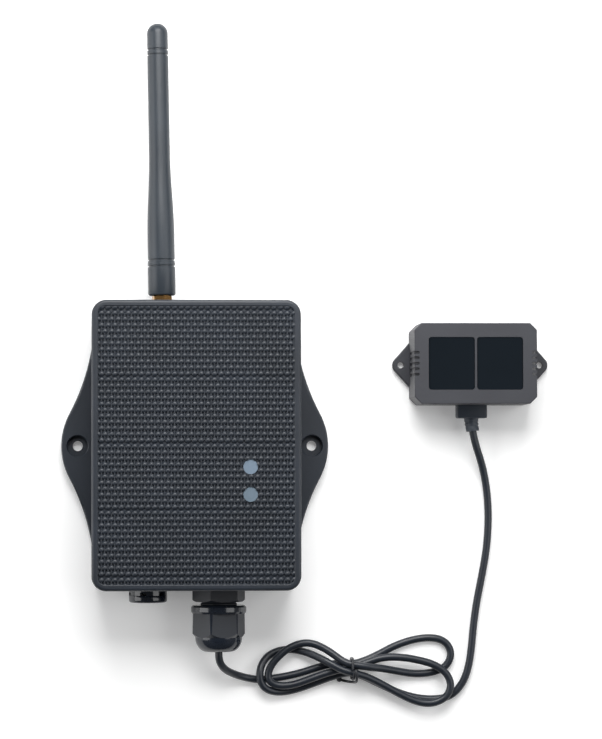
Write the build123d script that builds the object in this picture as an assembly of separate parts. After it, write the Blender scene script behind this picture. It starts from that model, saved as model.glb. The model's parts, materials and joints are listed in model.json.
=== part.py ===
from build123d import *
import os
from math import asin, cos, degrees, radians, sin, tan

# A battery radio node with a lidar distance head on a cord, lying on its back
# as it is unpacked. X runs to the right and Y towards the antenna, both seen
# from the front, and Z comes out of the front cover. The origin is midway
# between the two wall holes, in the plane of the back. All sizes are in mm.

# Case: a deep rear half and a shallow cover that laps over its rim
case_width = 90.0
case_length = 125.0
case_thickness = 39.0
cover_depth = 12.0
case_corner_r = 6.4
rear_inset = 0.8
case_wall = 2.5
back_thickness = 2.5
cover_thickness = 2.0
cover_edge_r = 1.3
lip_drop = 1.5
lip_gap = 0.15
panel_border = 2.8
panel_depth = 1.0
panel_corner_r = 3.2
panel_edge_r = 0.4
gasket_width = 1.2
gasket_depth = 1.0
gasket_gap = 0.05

# Wall flanges: a round tip that sweeps through a hollow curve into the case
flange_span = 117.4
flange_thickness = 6.0
flange_end_inset = 3.7
flange_tip_r = 30.0
flange_edge_r = 0.8
wall_hole_spacing = 103.0
wall_hole_d = 4.4
wall_seat_d = 9.0
wall_seat_depth = 3.0
wall_seat_bevel = 0.4

# Case screws, driven from the back into posts under the cover
case_screw_d = 3.0
case_screw_length = 12.0
case_screw_head_d = 5.5
case_screw_head_h = 2.4
case_screw_seat = 6.0
screw_post_d = 8.0
screw_post_inset = 3.2
screw_gap = 0.15
socket_share = 0.5

# Ports in the short walls, all at one height
port_z = 14.5
antenna_x = -14.6
vent_side_gap = 21.0
gland_x = 10.1
port_gap = 0.15

# Antenna: a rubber sleeve on a coaxial screw connector
antenna_lean = 1.0
antenna_rim = 3.9
antenna_length = 119.4
antenna_base_r = 5.93
antenna_collar_r = 5.8
antenna_shaft_r = 4.42
antenna_rim_bevel = 0.75
antenna_foot_height = 14.2
antenna_collar_height = 27.0
antenna_waist_height = 62.0
antenna_grooves = (12.8, 15.5, 105.6, 107.9)
antenna_groove_width = 0.7
antenna_groove_depth = 0.45
sma_thread_d = 6.35
sma_thread_reach = 9.4
sma_hex = 8.0
sma_flange_h = 2.0
sma_tail_d = 5.0
sma_tail_length = 5.0
sma_washer_h = 0.6
sma_washer_d = 9.0
sma_nut_h = 2.2
sma_pin_d = 0.9
sma_pin_length = 2.5
sma_cup_depth = 6.0
coupling_r = 4.6
coupling_length = 9.0
coupling_gap = 0.2
element_d = 2.0
element_tube_d = 4.8
element_tube_length = 32.0
element_end_gap = 9.0
sleeve_gap = 0.05

# Cord gland: threaded body, sealing bush in a slotted claw, domed nut
gland_thread_d = 16.0
gland_hex = 20.6
gland_turn = -12.1
gland_gasket_h = 0.8
gland_hex_h = 5.5
gland_neck_h = 1.5
gland_rim_h = 3.5
gland_rim_r = 12.35
gland_rim_bevel = 0.9
gland_nut_h = 8.8
gland_dome_h = 8.0
gland_mouth_r = 3.6
gland_bore_r = 4.6
gland_tail = 9.5
gland_locknut_h = 5.0
gland_gap = 0.15
gland_shell = 1.9
claw_count = 8
claw_slot = 0.9
claw_wall = 1.6
claw_tip_back = 6.2
gland_body_reach = 8.5

# Vent plug beside the gland
vent_thread_d = 12.0
vent_hex = 15.6
vent_cap_r = 8.45
vent_base_h = 3.4
vent_cap_h = 3.2
vent_cap_round = 1.2
vent_bore_d = 6.0
vent_seat_d = 9.0
vent_seat_h = 1.0
vent_slot_width = 1.6
vent_slot_depth = 0.9
vent_tail = 6.5
vent_locknut_h = 3.2
vent_locknut_hex = 16.0
vent_ring_width = 1.0
vent_ring_h = 0.9

# Light window and button in the cover
dot_d = 6.3
dot_side_gap = 18.5
window_y = -9.35
button_y = -21.2
dot_proud = 0.15
dot_flange_d = 8.6
dot_flange_h = 1.2
dot_stem_d = 3.4
window_gap = 0.05
button_gap = 0.2
button_rest_gap = 0.1
button_travel = 0.6
light_gap = 0.3

# Main board and what it carries
board_side_gap = 3.7
board_end_gap = 15.2
board_cell_gap = 3.4
board_thickness = 1.6
board_z = 23.0
board_corner_r = 2.0
board_hole_inset = 4.0
board_post_d = 6.0
board_screw_d = 2.5
board_screw_length = 7.0
board_screw_head_d = 4.6
board_screw_head_h = 1.7
radio_size = (20.0, 17.0, 3.0)
radio_from_coax = (7.0, -13.0)
terminal_poles = 4
terminal_pitch = 5.0
terminal_depth = 9.0
terminal_height = 9.6
terminal_from_gland = -4.1
terminal_from_edge = 7.0
terminal_mouth = (3.2, 3.6)
led_size = (3.5, 2.8, 1.9)
switch_size = (6.2, 6.2, 3.6)
plunger_d = 3.5
plunger_rise = 0.9
plunger_sink = 0.8
socket_size = (8.0, 6.0, 6.0)
socket_from_edges = (7.0, 16.0)
coax_socket_d = 3.0
coax_socket_h = 1.6
coax_plug_d = 4.0
coax_plug_h = 1.8
coax_from_edges = (11.0, 7.0)
board_wire_d = 1.3
coax_d = 1.4
coax_side_gap = 7.0

# Cells in moulded cradles
cell_d = 26.2
cell_length = 50.0
cell_x = 0.0
cell_row_gap = 3.65
cell_edge_r = 1.2
cell_cap_d = 9.0
cell_cap_h = 1.2
pulse_cell_d = 15.5
pulse_cell_length = 22.0
pulse_cell_x = 18.0
pulse_wall_gap = 6.45
cradle_gap = 0.2
cradle_rib = 2.0
cradle_side = 2.4
cradle_share = 0.3
cradle_floor = 0.4

# Lidar head: a front shell with two windows on a rear shell with two ears
head_x = 122.0
head_y = 35.6
head_width = 54.0
head_height = 35.6
head_depth = 26.0
head_split = 7.0
head_corner = 3.1
head_corner_r = 0.8
head_edge_r = 0.4
head_draft = 0.5
head_wall = 2.0
head_side_wall = 4.0
head_front_wall = 3.0
ear_hole_spacing = 61.8
ear_hole_d = 2.8
ear_tip_r = 3.65
ear_base = 17.8
ear_thickness = 3.0
ear_edge_r = 0.5
window_width = 20.2
window_height = 23.0
window_corner_r = 1.3
window_bar = 0.95
window_sink = 0.35
window_thickness = 1.6
window_ledge = 1.0
window_clear = 0.1
grip_count = 5
grip_pitch = 2.4
grip_width = 1.3
grip_depth = 1.8
head_post_d = 5.2
head_post_inset = 3.2
head_screw_d = 2.0
head_screw_length = 10.0
head_screw_head_d = 3.8
head_screw_head_h = 1.6
head_screw_seat = 2.4
head_seal_width = 1.0
head_seal_depth = 0.8
optic_board_thickness = 1.6
optic_board_gap = 0.6
optic_pad_d = 4.0
optic_pad_x = 12.0
optic_pad_inset = 2.4
barrel_r = 9.4
barrel_bore_r = 7.4
barrel_height = 13.6
barrel_base = (38.0, 18.0, 2.0)
lens_r = 8.4
lens_edge = 1.6
lens_bulge = 2.2
lens_seat = 5.0
emitter_size = (4.0, 4.0, 1.6)
detector_d = 8.2
detector_h = 3.0

# Boot that the cord leaves the head by
boot_width = 13.2
boot_length = 5.8
boot_height = 9.0
boot_edge_r = 0.6
boot_z = 6.5
boot_throat = (9.0, 7.0)
boot_tail = (12.0, 1.8, 7.0)
boot_gap = 0.1
neck_d = 5.5
neck_tip_d = 4.8
neck_length = 5.8
neck_groove = 0.7
neck_groove_depth = 0.45
neck_grooves = 3

# Cord: three stretches, the middle one hanked in a figure of eight and tied
cord_d = 3.3
hank_height = 7.0
waist_height = 11.1
hank_edge_r = 1.2
tie_x = 68.2
tie_y = -97.3
tie_width = 3.0
tie_thickness = 0.8
tie_gap = 0.1
waist_half = 4.2
cord_gap = 0.1
wire_d = 1.1
wire_count = 4

# The cord's route as it lies: out of the gland and down to the table
gland_route = [
    (10.1, -92.8, 14.5),
    (11.2, -95.8, 13.0),
    (13.2, -98.0, 10.2),
    (15.9, -99.6, 7.0),
    (19.2, -101.0, 4.2),
    (23.3, -102.2, 2.3),
    (28.6, -103.1, 1.65),
]

# The cord's route from the hank up to the boot of the head
head_route = [
    (110.8, -111.6, 1.65),
    (115.4, -108.6, 1.65),
    (118.8, -103.9, 1.65),
    (120.9, -98.0, 1.65),
    (122.2, -90.0, 1.65),
    (123.1, -79.5, 1.65),
    (124.7, -68.5, 1.65),
    (127.0, -57.5, 1.65),
    (129.0, -46.5, 1.65),
    (129.9, -36.0, 1.65),
    (129.8, -27.0, 1.65),
    (128.9, -19.0, 2.0),
    (127.4, -12.0, 3.0),
    (125.5, -6.6, 4.6),
    (123.2, -2.0, 5.9),
    (122.0, 2.0, 6.5),
]

# Sizes that follow from the ones above
split_z = case_thickness - cover_depth
rear_width = case_width - 2 * rear_inset
rear_length = case_length - 2 * rear_inset
rear_corner_r = case_corner_r - rear_inset
inner_width = rear_width - 2 * case_wall
inner_length = rear_length - 2 * case_wall
vent_x = vent_side_gap - inner_width / 2
dot_x = inner_width / 2 - dot_side_gap
inner_corner_r = rear_corner_r - case_wall
panel_z = case_thickness - panel_depth
cover_inside_z = panel_z - cover_thickness
pulse_cell_y = inner_length / 2 - pulse_wall_gap - pulse_cell_d / 2
cell_y = pulse_cell_y - pulse_cell_d / 2 - cell_row_gap - cell_d / 2
board_top = board_z + board_thickness
board_width = inner_width - 2 * board_side_gap
board_far_y = cell_y - cell_d / 2 - board_cell_gap
board_near_y = -inner_length / 2 + board_end_gap
board_length = board_far_y - board_near_y
board_y = (board_far_y + board_near_y) / 2
coax_at = (-board_width / 2 + coax_from_edges[0], board_far_y - coax_from_edges[1])
radio_at = (coax_at[0] + radio_from_coax[0], coax_at[1] + radio_from_coax[1])
socket_at = (board_width / 2 - socket_from_edges[0], board_far_y - socket_from_edges[1])
terminal_at = (gland_x + terminal_from_gland, board_near_y + terminal_from_edge)
screw_seat_z = split_z - case_screw_seat
post_x = inner_width / 2 - screw_post_inset
post_y = inner_length / 2 - screw_post_inset
flange_reach = rear_length / 2 - flange_end_inset
cell_z = back_thickness + cradle_floor + cell_d / 2
pulse_cell_z = back_thickness + cradle_floor + pulse_cell_d / 2
gland_neck_z = gland_gasket_h + gland_hex_h
gland_nut_z = gland_neck_z + gland_neck_h
gland_dome_z = gland_nut_z + gland_rim_h + gland_nut_h
gland_end = gland_dome_z + gland_dome_h
vent_height = vent_base_h + vent_cap_h
window_pitch = window_width + window_bar
head_inside_z = head_depth - head_front_wall
head_post_x = head_width / 2 - head_side_wall - head_post_inset
head_post_y = head_height / 2 - head_wall - head_post_inset
optic_pad_y = head_height / 2 - head_wall - optic_pad_inset
optic_board_z = head_split - optic_board_thickness
boot_end_y = head_y - head_height / 2 - boot_length
neck_end_y = boot_end_y - neck_length

MIN = (Align.CENTER, Align.CENTER, Align.MIN)
MAX = (Align.CENTER, Align.CENTER, Align.MAX)


# Helpers for shapes that repeat
def rod(diameter, height, z=0.0):
    return Pos(0, 0, z) * Cylinder(diameter / 2, height, align=MIN)


def tube(outer_d, inner_d, height, z=0.0):
    return rod(outer_d, height, z) - rod(inner_d, height, z)


def hex_bar(across_flats, height, z=0.0, turn=0.0):
    profile = RegularPolygon(across_flats / 2, 6, major_radius=False, rotation=turn)
    return Pos(0, 0, z) * extrude(profile, height)


def plate(width, length, corner_r, height, z=0.0):
    return Pos(0, 0, z) * extrude(RectangleRounded(width, length, corner_r), height)


def corners(x, y):
    return [(x, y), (-x, y), (-x, -y), (x, -y)]


def top_port(x):
    return Pos(x, rear_length / 2, port_z) * Rot(-90, 0, 0)


def bottom_port(x):
    return Pos(x, -rear_length / 2, port_z) * Rot(90, 0, 0)


def screw(diameter, length, head_d, head_h):
    # the head's bearing face is at zero and the shank points up
    body = rod(diameter, length) + rod(head_d, head_h, -head_h)
    return body - hex_bar(head_d * socket_share, head_h / 2, -head_h)


def pipe(points, diameter, share=0.45):
    # straight runs joined by tangent arcs, each as large as its runs allow
    radii = []
    for before, at, after in zip(points, points[1:], points[2:]):
        run_in = Vector(*at) - Vector(*before)
        run_out = Vector(*after) - Vector(*at)
        half_turn = radians(run_in.get_angle(run_out) / 2)
        radii.append(share * min(run_in.length, run_out.length) / tan(half_turn))
    path = FilletPolyline(*points, radius=radii)
    section = Plane(origin=path @ 0, z_dir=path % 0) * Circle(diameter / 2)
    return sweep(section, path=path), radii, path.length


# Case
def flange_half():
    overhang = (flange_span - rear_width) / 2
    hollow_r = (flange_reach**2 + overhang**2) / (2 * overhang) - flange_tip_r
    turn = degrees(asin(flange_reach / (flange_tip_r + hollow_r)))
    edge_x = rear_width / 2
    hollow_x = edge_x + hollow_r
    outline = make_face(
        [
            CenterArc((flange_span / 2 - flange_tip_r, 0), flange_tip_r, -turn, 2 * turn),
            CenterArc((hollow_x, flange_reach), hollow_r, 180, turn),
            CenterArc((hollow_x, -flange_reach), hollow_r, 180 - turn, turn),
            Line((edge_x, flange_reach), (0, flange_reach)),
            Line((0, flange_reach), (0, -flange_reach)),
            Line((0, -flange_reach), (edge_x, -flange_reach)),
        ]
    )
    half = extrude(outline, flange_thickness)
    rim = half.edges().filter_by(GeomType.CIRCLE).group_by(Axis.Z)[-1]
    half = fillet(rim, flange_edge_r)
    hole = rod(wall_hole_d, flange_thickness)
    hole += rod(wall_seat_d, wall_seat_depth, flange_thickness - wall_seat_depth)
    bevel_z = flange_thickness - wall_seat_bevel
    wide = wall_seat_d / 2 + wall_seat_bevel
    hole += Pos(0, 0, bevel_z) * Cone(wall_seat_d / 2, wide, wall_seat_bevel, align=MIN)
    return half - Pos(wall_hole_spacing / 2, 0, 0) * hole


def cradle(diameter, length, x, y, z, rib_x):
    # two saddle ribs that a cell lies in, along X
    width = diameter + 2 * cradle_side
    ribs = [
        Pos(x + side * rib_x, y, back_thickness)
        * Box(cradle_rib, width, z - back_thickness, align=MIN)
        for side in (-1, 1)
    ]
    hollow = Pos(x, y, z) * Rot(0, 90, 0) * Cylinder(diameter / 2 + cradle_gap, length)
    return [rib - hollow for rib in ribs]


def board_holes():
    x = board_width / 2 - board_hole_inset
    y = board_length / 2 - board_hole_inset
    return [(px, py + board_y) for px, py in corners(x, y)]


def rear_case():
    body = plate(rear_width, rear_length, rear_corner_r, split_z)
    half = flange_half()
    body += half + mirror(half, Plane.YZ)
    body -= plate(inner_width, inner_length, inner_corner_r, split_z, back_thickness)
    for x, y in corners(post_x, post_y):
        post = rod(screw_post_d, split_z)
        post -= rod(case_screw_d + 2 * screw_gap, split_z)
        post -= rod(case_screw_head_d + 4 * screw_gap, screw_seat_z)
        body -= Pos(x, y, 0) * rod(screw_post_d, split_z)
        body += Pos(x, y, 0) * post
    for x, y in board_holes():
        post = tube(board_post_d, board_screw_d + screw_gap, board_z - back_thickness, back_thickness)
        body += Pos(x, y, 0) * post
    body += cradle(cell_d, cell_length, cell_x, cell_y, cell_z, cell_length * cradle_share)
    pulse_rib_x = pulse_cell_length * cradle_share
    body += cradle(pulse_cell_d, pulse_cell_length, pulse_cell_x, pulse_cell_y, pulse_cell_z, pulse_rib_x)
    bore = 3 * case_wall
    body -= top_port(antenna_x) * Cylinder(sma_thread_d / 2 + port_gap, bore)
    body -= bottom_port(vent_x) * Cylinder(vent_thread_d / 2 + port_gap, bore)
    body -= bottom_port(gland_x) * Cylinder(gland_thread_d / 2 + port_gap, bore)
    return body - seal_ring(gasket_gap)


def seal_ring(gap):
    # sits in the middle of the rim, flush with its top
    edge = (case_wall - gasket_width) / 2 - gap
    inner = edge + gasket_width + 2 * gap
    height = gasket_depth
    ring = plate(rear_width - 2 * edge, rear_length - 2 * edge, rear_corner_r - edge, height)
    ring -= plate(rear_width - 2 * inner, rear_length - 2 * inner, rear_corner_r - inner, height)
    return Pos(0, 0, split_z - height) * ring


def front_cover():
    low = split_z - lip_drop
    body = plate(case_width, case_length, case_corner_r, case_thickness - low, low)
    rim = body.faces().sort_by(Axis.Z)[-1].edges()
    body = fillet(rim, cover_edge_r)
    grow = 2 * lip_gap
    body -= plate(rear_width + grow, rear_length + grow, rear_corner_r + lip_gap, lip_drop, low)
    body -= plate(inner_width, inner_length, inner_corner_r, cover_inside_z - split_z, split_z)
    panel = plate(
        case_width - 2 * panel_border, case_length - 2 * panel_border, panel_corner_r, panel_depth, panel_z
    )
    body -= panel
    border = body.faces().sort_by(Axis.Z)[-1]
    body = fillet(border.inner_wires()[0].edges(), panel_edge_r)
    for x, y in corners(post_x, post_y):
        post = rod(screw_post_d, cover_inside_z - split_z, split_z)
        post -= rod(case_screw_d + screw_gap, case_screw_length - case_screw_seat + 1, split_z)
        body += Pos(x, y, 0) * post
    for y, gap in ((window_y, window_gap), (button_y, button_gap)):
        body -= Pos(dot_x, y, 0) * rod(dot_d + 2 * gap, 2 * cover_thickness, cover_inside_z - 1)
    return body


def case_screws():
    one = screw(case_screw_d, case_screw_length, case_screw_head_d, case_screw_head_h)
    return [Pos(x, y, screw_seat_z) * one for x, y in corners(post_x, post_y)]


# Antenna and its connector, each along its own axis with zero at the wall
def sma_connector():
    body = rod(sma_thread_d, case_wall + sma_thread_reach, -case_wall)
    body += hex_bar(sma_hex, sma_flange_h, -case_wall - sma_flange_h)
    body += rod(sma_tail_d, sma_tail_length, -case_wall - sma_flange_h - sma_tail_length)
    body -= rod(sma_pin_d + 2 * coupling_gap, sma_cup_depth, sma_thread_reach - sma_cup_depth)
    return top_port(antenna_x) * body


def sma_washer():
    return top_port(antenna_x) * tube(sma_washer_d, sma_thread_d + 2 * port_gap, sma_washer_h)


def sma_nut():
    body = hex_bar(sma_hex, sma_nut_h, sma_washer_h) - rod(sma_thread_d + port_gap, sma_nut_h, sma_washer_h)
    return top_port(antenna_x) * body


def antenna_place():
    # leans a little in its thread, about the middle of the engaged length
    pivot = (antenna_rim + sma_thread_reach) / 2
    y = rear_length / 2 + pivot
    return Pos(antenna_x, y, port_z) * Rot(0, 0, antenna_lean) * Rot(-90, 0, 0) * Pos(0, 0, -pivot)


def antenna_sleeve():
    tip = antenna_length - antenna_shaft_r
    profile = make_face(
        [
            Line((0, 0), (antenna_base_r - antenna_rim_bevel, 0)),
            Line((antenna_base_r - antenna_rim_bevel, 0), (antenna_base_r, antenna_rim_bevel)),
            Line((antenna_base_r, antenna_rim_bevel), (antenna_base_r, antenna_foot_height)),
            Line((antenna_base_r, antenna_foot_height), (antenna_collar_r, antenna_foot_height)),
            Line((antenna_collar_r, antenna_foot_height), (antenna_collar_r, antenna_collar_height)),
            Spline(
                [(antenna_collar_r, antenna_collar_height), (antenna_shaft_r, antenna_waist_height)],
                tangents=[(0, 1), (0, 1)],
            ),
            Line((antenna_shaft_r, antenna_waist_height), (antenna_shaft_r, tip)),
            CenterArc((0, tip), antenna_shaft_r, 0, 90),
            Line((0, antenna_length), (0, 0)),
        ]
    )
    body = revolve(Plane.XZ * profile, Axis.Z)
    for height in antenna_grooves:
        reach = antenna_base_r if height < antenna_foot_height else antenna_collar_r
        reach = reach if height < antenna_waist_height else antenna_shaft_r
        outer_d = 2 * antenna_base_r + 1
        inner_d = 2 * (reach - antenna_groove_depth)
        body -= tube(outer_d, inner_d, antenna_groove_width, height - antenna_groove_width / 2)
    body -= rod(2 * (coupling_r + sleeve_gap), coupling_length)
    body -= rod(element_tube_d + 2 * sleeve_gap, element_tube_length, coupling_length)
    body -= rod(element_d + 2 * sleeve_gap, element_length(), coupling_length)
    return antenna_place() * Pos(0, 0, antenna_rim) * body


def element_length():
    return antenna_length - element_end_gap - coupling_length


def antenna_element():
    body = rod(element_d, element_length()) + rod(element_tube_d, element_tube_length)
    return antenna_place() * Pos(0, 0, antenna_rim + coupling_length) * body


def antenna_coupling():
    start = 0.5
    cup = sma_thread_reach - antenna_rim + 2 * coupling_gap
    body = rod(2 * coupling_r, coupling_length - start, start)
    body -= rod(sma_thread_d + 2 * coupling_gap, cup - start, start)
    body += rod(sma_pin_d, sma_pin_length + coupling_gap, cup - sma_pin_length - coupling_gap)
    return antenna_place() * Pos(0, 0, antenna_rim) * body


# Gland, along its own axis with zero at the wall
def gland_body():
    body = hex_bar(gland_hex, gland_hex_h, gland_gasket_h, gland_turn)
    reach = gland_neck_h + gland_body_reach
    body += rod(gland_thread_d, reach, gland_neck_z)
    body += rod(gland_thread_d, gland_gasket_h + case_wall + gland_tail, -case_wall - gland_tail)
    body -= rod(2 * gland_bore_r, gland_neck_z + reach + case_wall + gland_tail, -case_wall - gland_tail)
    claw_r = gland_thread_d / 2 - claw_wall
    body -= rod(2 * claw_r, gland_body_reach, gland_nut_z)
    return bottom_port(gland_x) * body


def gland_gasket():
    return bottom_port(gland_x) * tube(gland_hex - 0.6, gland_thread_d + 2 * gland_gap, gland_gasket_h)


def gland_locknut():
    z = -case_wall - gland_locknut_h
    body = hex_bar(gland_hex, gland_locknut_h, z) - rod(gland_thread_d + gland_gap, gland_locknut_h, z)
    return bottom_port(gland_x) * body


def gland_claw():
    # a slotted cup in the body's mouth whose fingers close on the bush
    outer = gland_thread_d / 2 - claw_wall - gland_gap
    inner = gland_bore_r + gland_gap
    start = gland_nut_z
    ring_end = start + gland_body_reach
    finger_end = gland_end - claw_tip_back
    body = rod(2 * outer, ring_end - start, start)
    body += Pos(0, 0, ring_end) * Cone(outer, inner + 0.6, finger_end - ring_end, align=MIN)
    body -= rod(2 * inner, finger_end - start, start)
    slot = Pos(0, 0, ring_end - 1) * Box(2 * outer, claw_slot, finger_end, align=MIN)
    for step in range(claw_count // 2):
        body -= Rot(0, 0, step * 360 / claw_count) * slot
    return bottom_port(gland_x) * body


def gland_seal():
    start = gland_nut_z
    length = gland_end - claw_tip_back - start
    return bottom_port(gland_x) * tube(2 * gland_bore_r, cord_d, length, start)


def gland_nut():
    rim_r = gland_rim_r
    hex_r = gland_hex / 2 / cos(radians(30)) - 0.15
    rim_end = gland_nut_z + gland_rim_h
    rim = hex_bar(gland_hex + 1.0, gland_rim_h, gland_nut_z, gland_turn)
    rim &= Pos(0, 0, gland_nut_z) * revolve(
        Plane.XZ
        * Polygon(
            (0, 0),
            (rim_r - gland_rim_bevel, 0),
            (rim_r, gland_rim_bevel),
            (rim_r, gland_rim_h - gland_rim_bevel),
            (rim_r - gland_rim_bevel, gland_rim_h),
            (0, gland_rim_h),
            align=None,
        ),
        Axis.Z,
    )
    shank = hex_bar(gland_hex, gland_nut_h + gland_dome_h, rim_end, gland_turn)
    dome_r = gland_hex / 2 + 0.1
    low = gland_nut_h
    profile = make_face(
        [
            Line((0, 0), (hex_r, 0)),
            Line((hex_r, 0), (hex_r, low)),
            Line((hex_r, low), (dome_r, low + 1.6)),
            Spline(
                [
                    (dome_r, low + 1.6),
                    (dome_r * 0.85, low + gland_dome_h * 0.68),
                    (gland_mouth_r + 1.6, low + gland_dome_h),
                ],
                tangents=[(0, 1), (-1, 0.12)],
            ),
            Line((gland_mouth_r + 1.6, low + gland_dome_h), (0, low + gland_dome_h)),
            Line((0, low + gland_dome_h), (0, 0)),
        ]
    )
    shank &= Pos(0, 0, rim_end) * revolve(Plane.XZ * profile, Axis.Z)
    body = rim + shank
    bore_end = gland_nut_z + gland_body_reach + 1
    bore = rod(gland_thread_d + 2 * gland_gap, bore_end - gland_nut_z, gland_nut_z)
    bore_r = gland_thread_d / 2 + gland_gap
    cone_h = gland_end - gland_shell - bore_end
    bore += Pos(0, 0, bore_end) * Cone(bore_r, gland_mouth_r, cone_h, align=MIN)
    bore += rod(2 * gland_mouth_r, gland_end - bore_end, bore_end)
    return bottom_port(gland_x) * (body - bore)


# Vent plug, along its own axis with zero at the wall
def vent_round():
    rim = Pos(0, 0, vent_height) * Cylinder(vent_cap_r, vent_height, align=MAX)
    return fillet(rim.edges().sort_by(Axis.Z)[-1], vent_cap_round)


def vent_plug():
    body = hex_bar(vent_hex, vent_base_h, 0, gland_turn) & vent_round()
    body += rod(vent_thread_d, case_wall + vent_tail, -case_wall - vent_tail)
    body -= rod(vent_bore_d, case_wall + vent_tail + vent_base_h, -case_wall - vent_tail)
    body -= rod(vent_seat_d, vent_seat_h, vent_base_h - vent_seat_h)
    body -= tube(2 * vent_ring_outer(), vent_thread_d, vent_ring_h)
    for step in range(3):
        slot = Box(2 * vent_cap_r, vent_slot_width, vent_slot_depth, align=MAX)
        body -= Pos(0, 0, vent_base_h) * Rot(0, 0, step * 60 + gland_turn) * slot
    return bottom_port(vent_x) * body


def vent_ring_outer():
    return vent_thread_d / 2 + vent_ring_width


def vent_ring():
    return bottom_port(vent_x) * tube(2 * vent_ring_outer(), vent_thread_d, vent_ring_h)


def vent_cap():
    body = hex_bar(vent_hex, vent_cap_h, vent_base_h, gland_turn) & vent_round()
    return bottom_port(vent_x) * body


def vent_membrane():
    thickness = vent_seat_h - vent_slot_depth * 0.5
    return bottom_port(vent_x) * rod(vent_seat_d - 0.1, thickness, vent_base_h - vent_seat_h)


def vent_locknut():
    z = -case_wall - vent_locknut_h
    body = hex_bar(vent_locknut_hex, vent_locknut_h, z) - rod(vent_thread_d + gland_gap, vent_locknut_h, z)
    return bottom_port(vent_x) * body


# Light window and button
def led_window():
    body = rod(dot_d, panel_z + dot_proud - cover_inside_z, cover_inside_z)
    body += rod(dot_flange_d, dot_flange_h, cover_inside_z - dot_flange_h)
    foot = board_top + led_size[2] + light_gap
    body += rod(dot_stem_d, cover_inside_z - foot, foot)
    return Pos(dot_x, window_y, 0) * body


def act_button():
    under = cover_inside_z - button_rest_gap
    body = rod(dot_d, panel_z + dot_proud - under, under)
    body += rod(dot_flange_d, dot_flange_h, under - dot_flange_h)
    foot = board_top + switch_size[2] + plunger_rise
    body += rod(dot_stem_d, under - foot, foot)
    return Pos(dot_x, button_y, 0) * body


def switch_plunger():
    z = board_top + switch_size[2] - plunger_sink
    return Pos(dot_x, button_y, 0) * rod(plunger_d, plunger_sink + plunger_rise, z)


def button_switch():
    body = Pos(0, 0, board_top) * Box(*switch_size, align=MIN)
    depth = plunger_sink + button_travel + 2 * button_gap
    body -= rod(plunger_d + 2 * button_gap, depth, board_top + switch_size[2] - depth)
    return Pos(dot_x, button_y, 0) * body


def status_led():
    return Pos(dot_x, window_y, board_top) * Box(*led_size, align=MIN)


# Board and what stands on it
def main_board():
    body = Pos(0, board_y, 0) * plate(board_width, board_length, board_corner_r, board_thickness, board_z)
    for x, y in board_holes():
        body -= Pos(x, y, 0) * rod(board_screw_d + 2 * screw_gap, board_thickness, board_z)
    return body


def board_screws():
    one = Rot(180, 0, 0) * screw(board_screw_d, board_screw_length, board_screw_head_d, board_screw_head_h)
    return [Pos(x, y, board_top) * one for x, y in board_holes()]


def radio_module():
    body = Pos(*radio_at, board_top) * Box(*radio_size, align=MIN)
    return fillet(body.edges().filter_by(Axis.Z), 0.8)


def terminal_x(pole):
    return terminal_at[0] + (pole - (terminal_poles - 1) / 2) * terminal_pitch


def terminal_block():
    width = terminal_poles * terminal_pitch
    body = Pos(*terminal_at, board_top) * Box(width, terminal_depth, terminal_height, align=MIN)
    back = body.edges().filter_by(Axis.X).sort_by(lambda e: e.center().Z + e.center().Y)[-1]
    body = chamfer(back, terminal_depth / 4)
    for pole in range(terminal_poles):
        x = terminal_x(pole)
        front = terminal_at[1] - terminal_depth / 2
        mouth = Box(terminal_mouth[0], terminal_depth * 0.6, terminal_mouth[1])
        body -= Pos(x, front, board_top + 3.0) * mouth
        top = board_top + terminal_height
        body -= Pos(x, terminal_at[1] - 1.0, top) * Cylinder(1.6, 3.0)
    return body


def battery_socket():
    body = Pos(*socket_at, board_top) * Box(*socket_size, align=MIN)
    well = Box(socket_size[0] - 2, socket_size[1] - 2, socket_size[2], align=MIN)
    return body - Pos(*socket_at, board_top + 1.2) * well


def battery_plug():
    gap = 0.1
    body = Box(socket_size[0] - 2 - 2 * gap, socket_size[1] - 2 - 2 * gap, socket_size[2], align=MIN)
    return Pos(*socket_at, board_top + 1.2) * body


def coax_socket():
    return Pos(*coax_at, 0) * rod(coax_socket_d, coax_socket_h, board_top)


def coax_plug():
    body = rod(coax_plug_d, coax_plug_h, board_top + coax_socket_h)
    return Pos(*coax_at, 0) * body


def coax_pigtail():
    # from the plug on the board, beside the main cell, to the antenna port
    z = board_top + coax_socket_h + coax_plug_h / 2
    start_y = rear_length / 2 - case_wall - sma_flange_h - sma_tail_length
    left = cell_x - cell_length / 2 - coax_side_gap
    past_cell_y = cell_y + cell_d / 2 + coax_side_gap
    points = [
        (coax_at[0], coax_at[1] + coax_plug_d / 2, z),
        (coax_at[0], coax_at[1] + 7.0, z),
        (left, coax_at[1] + 14.0, z - 3.0),
        (left - 0.5, cell_y + 6.0, port_z + 3.0),
        (left + 5.0, past_cell_y, port_z),
        (antenna_x, start_y - 5.0, port_z),
        (antenna_x, start_y, port_z),
    ]
    return pipe(points, coax_d)[0]


def battery_leads():
    # two wires from the ends of the main cell to the plug on the board
    top = board_top + 1.2 + socket_size[2]
    wires = []
    for side in (-1, 1):
        plug_x = socket_at[0] + side * 1.2
        end_x = cell_x + cell_length / 2 + cell_cap_h
        points = [
            (end_x, cell_y + side * 2.6, cell_z),
            (end_x + 3.5, cell_y + side * 2.6, cell_z),
            (end_x + 4.6 + side, cell_y - 6.0, cell_z + 8.0),
            (plug_x, socket_at[1] + 14.0, top + 0.4),
            (plug_x, socket_at[1] + 4.0, top + 2.4),
            (plug_x, socket_at[1], top + 2.0),
            (plug_x, socket_at[1], top),
        ]
        wires.append(pipe(points, board_wire_d)[0])
    return wires


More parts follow.
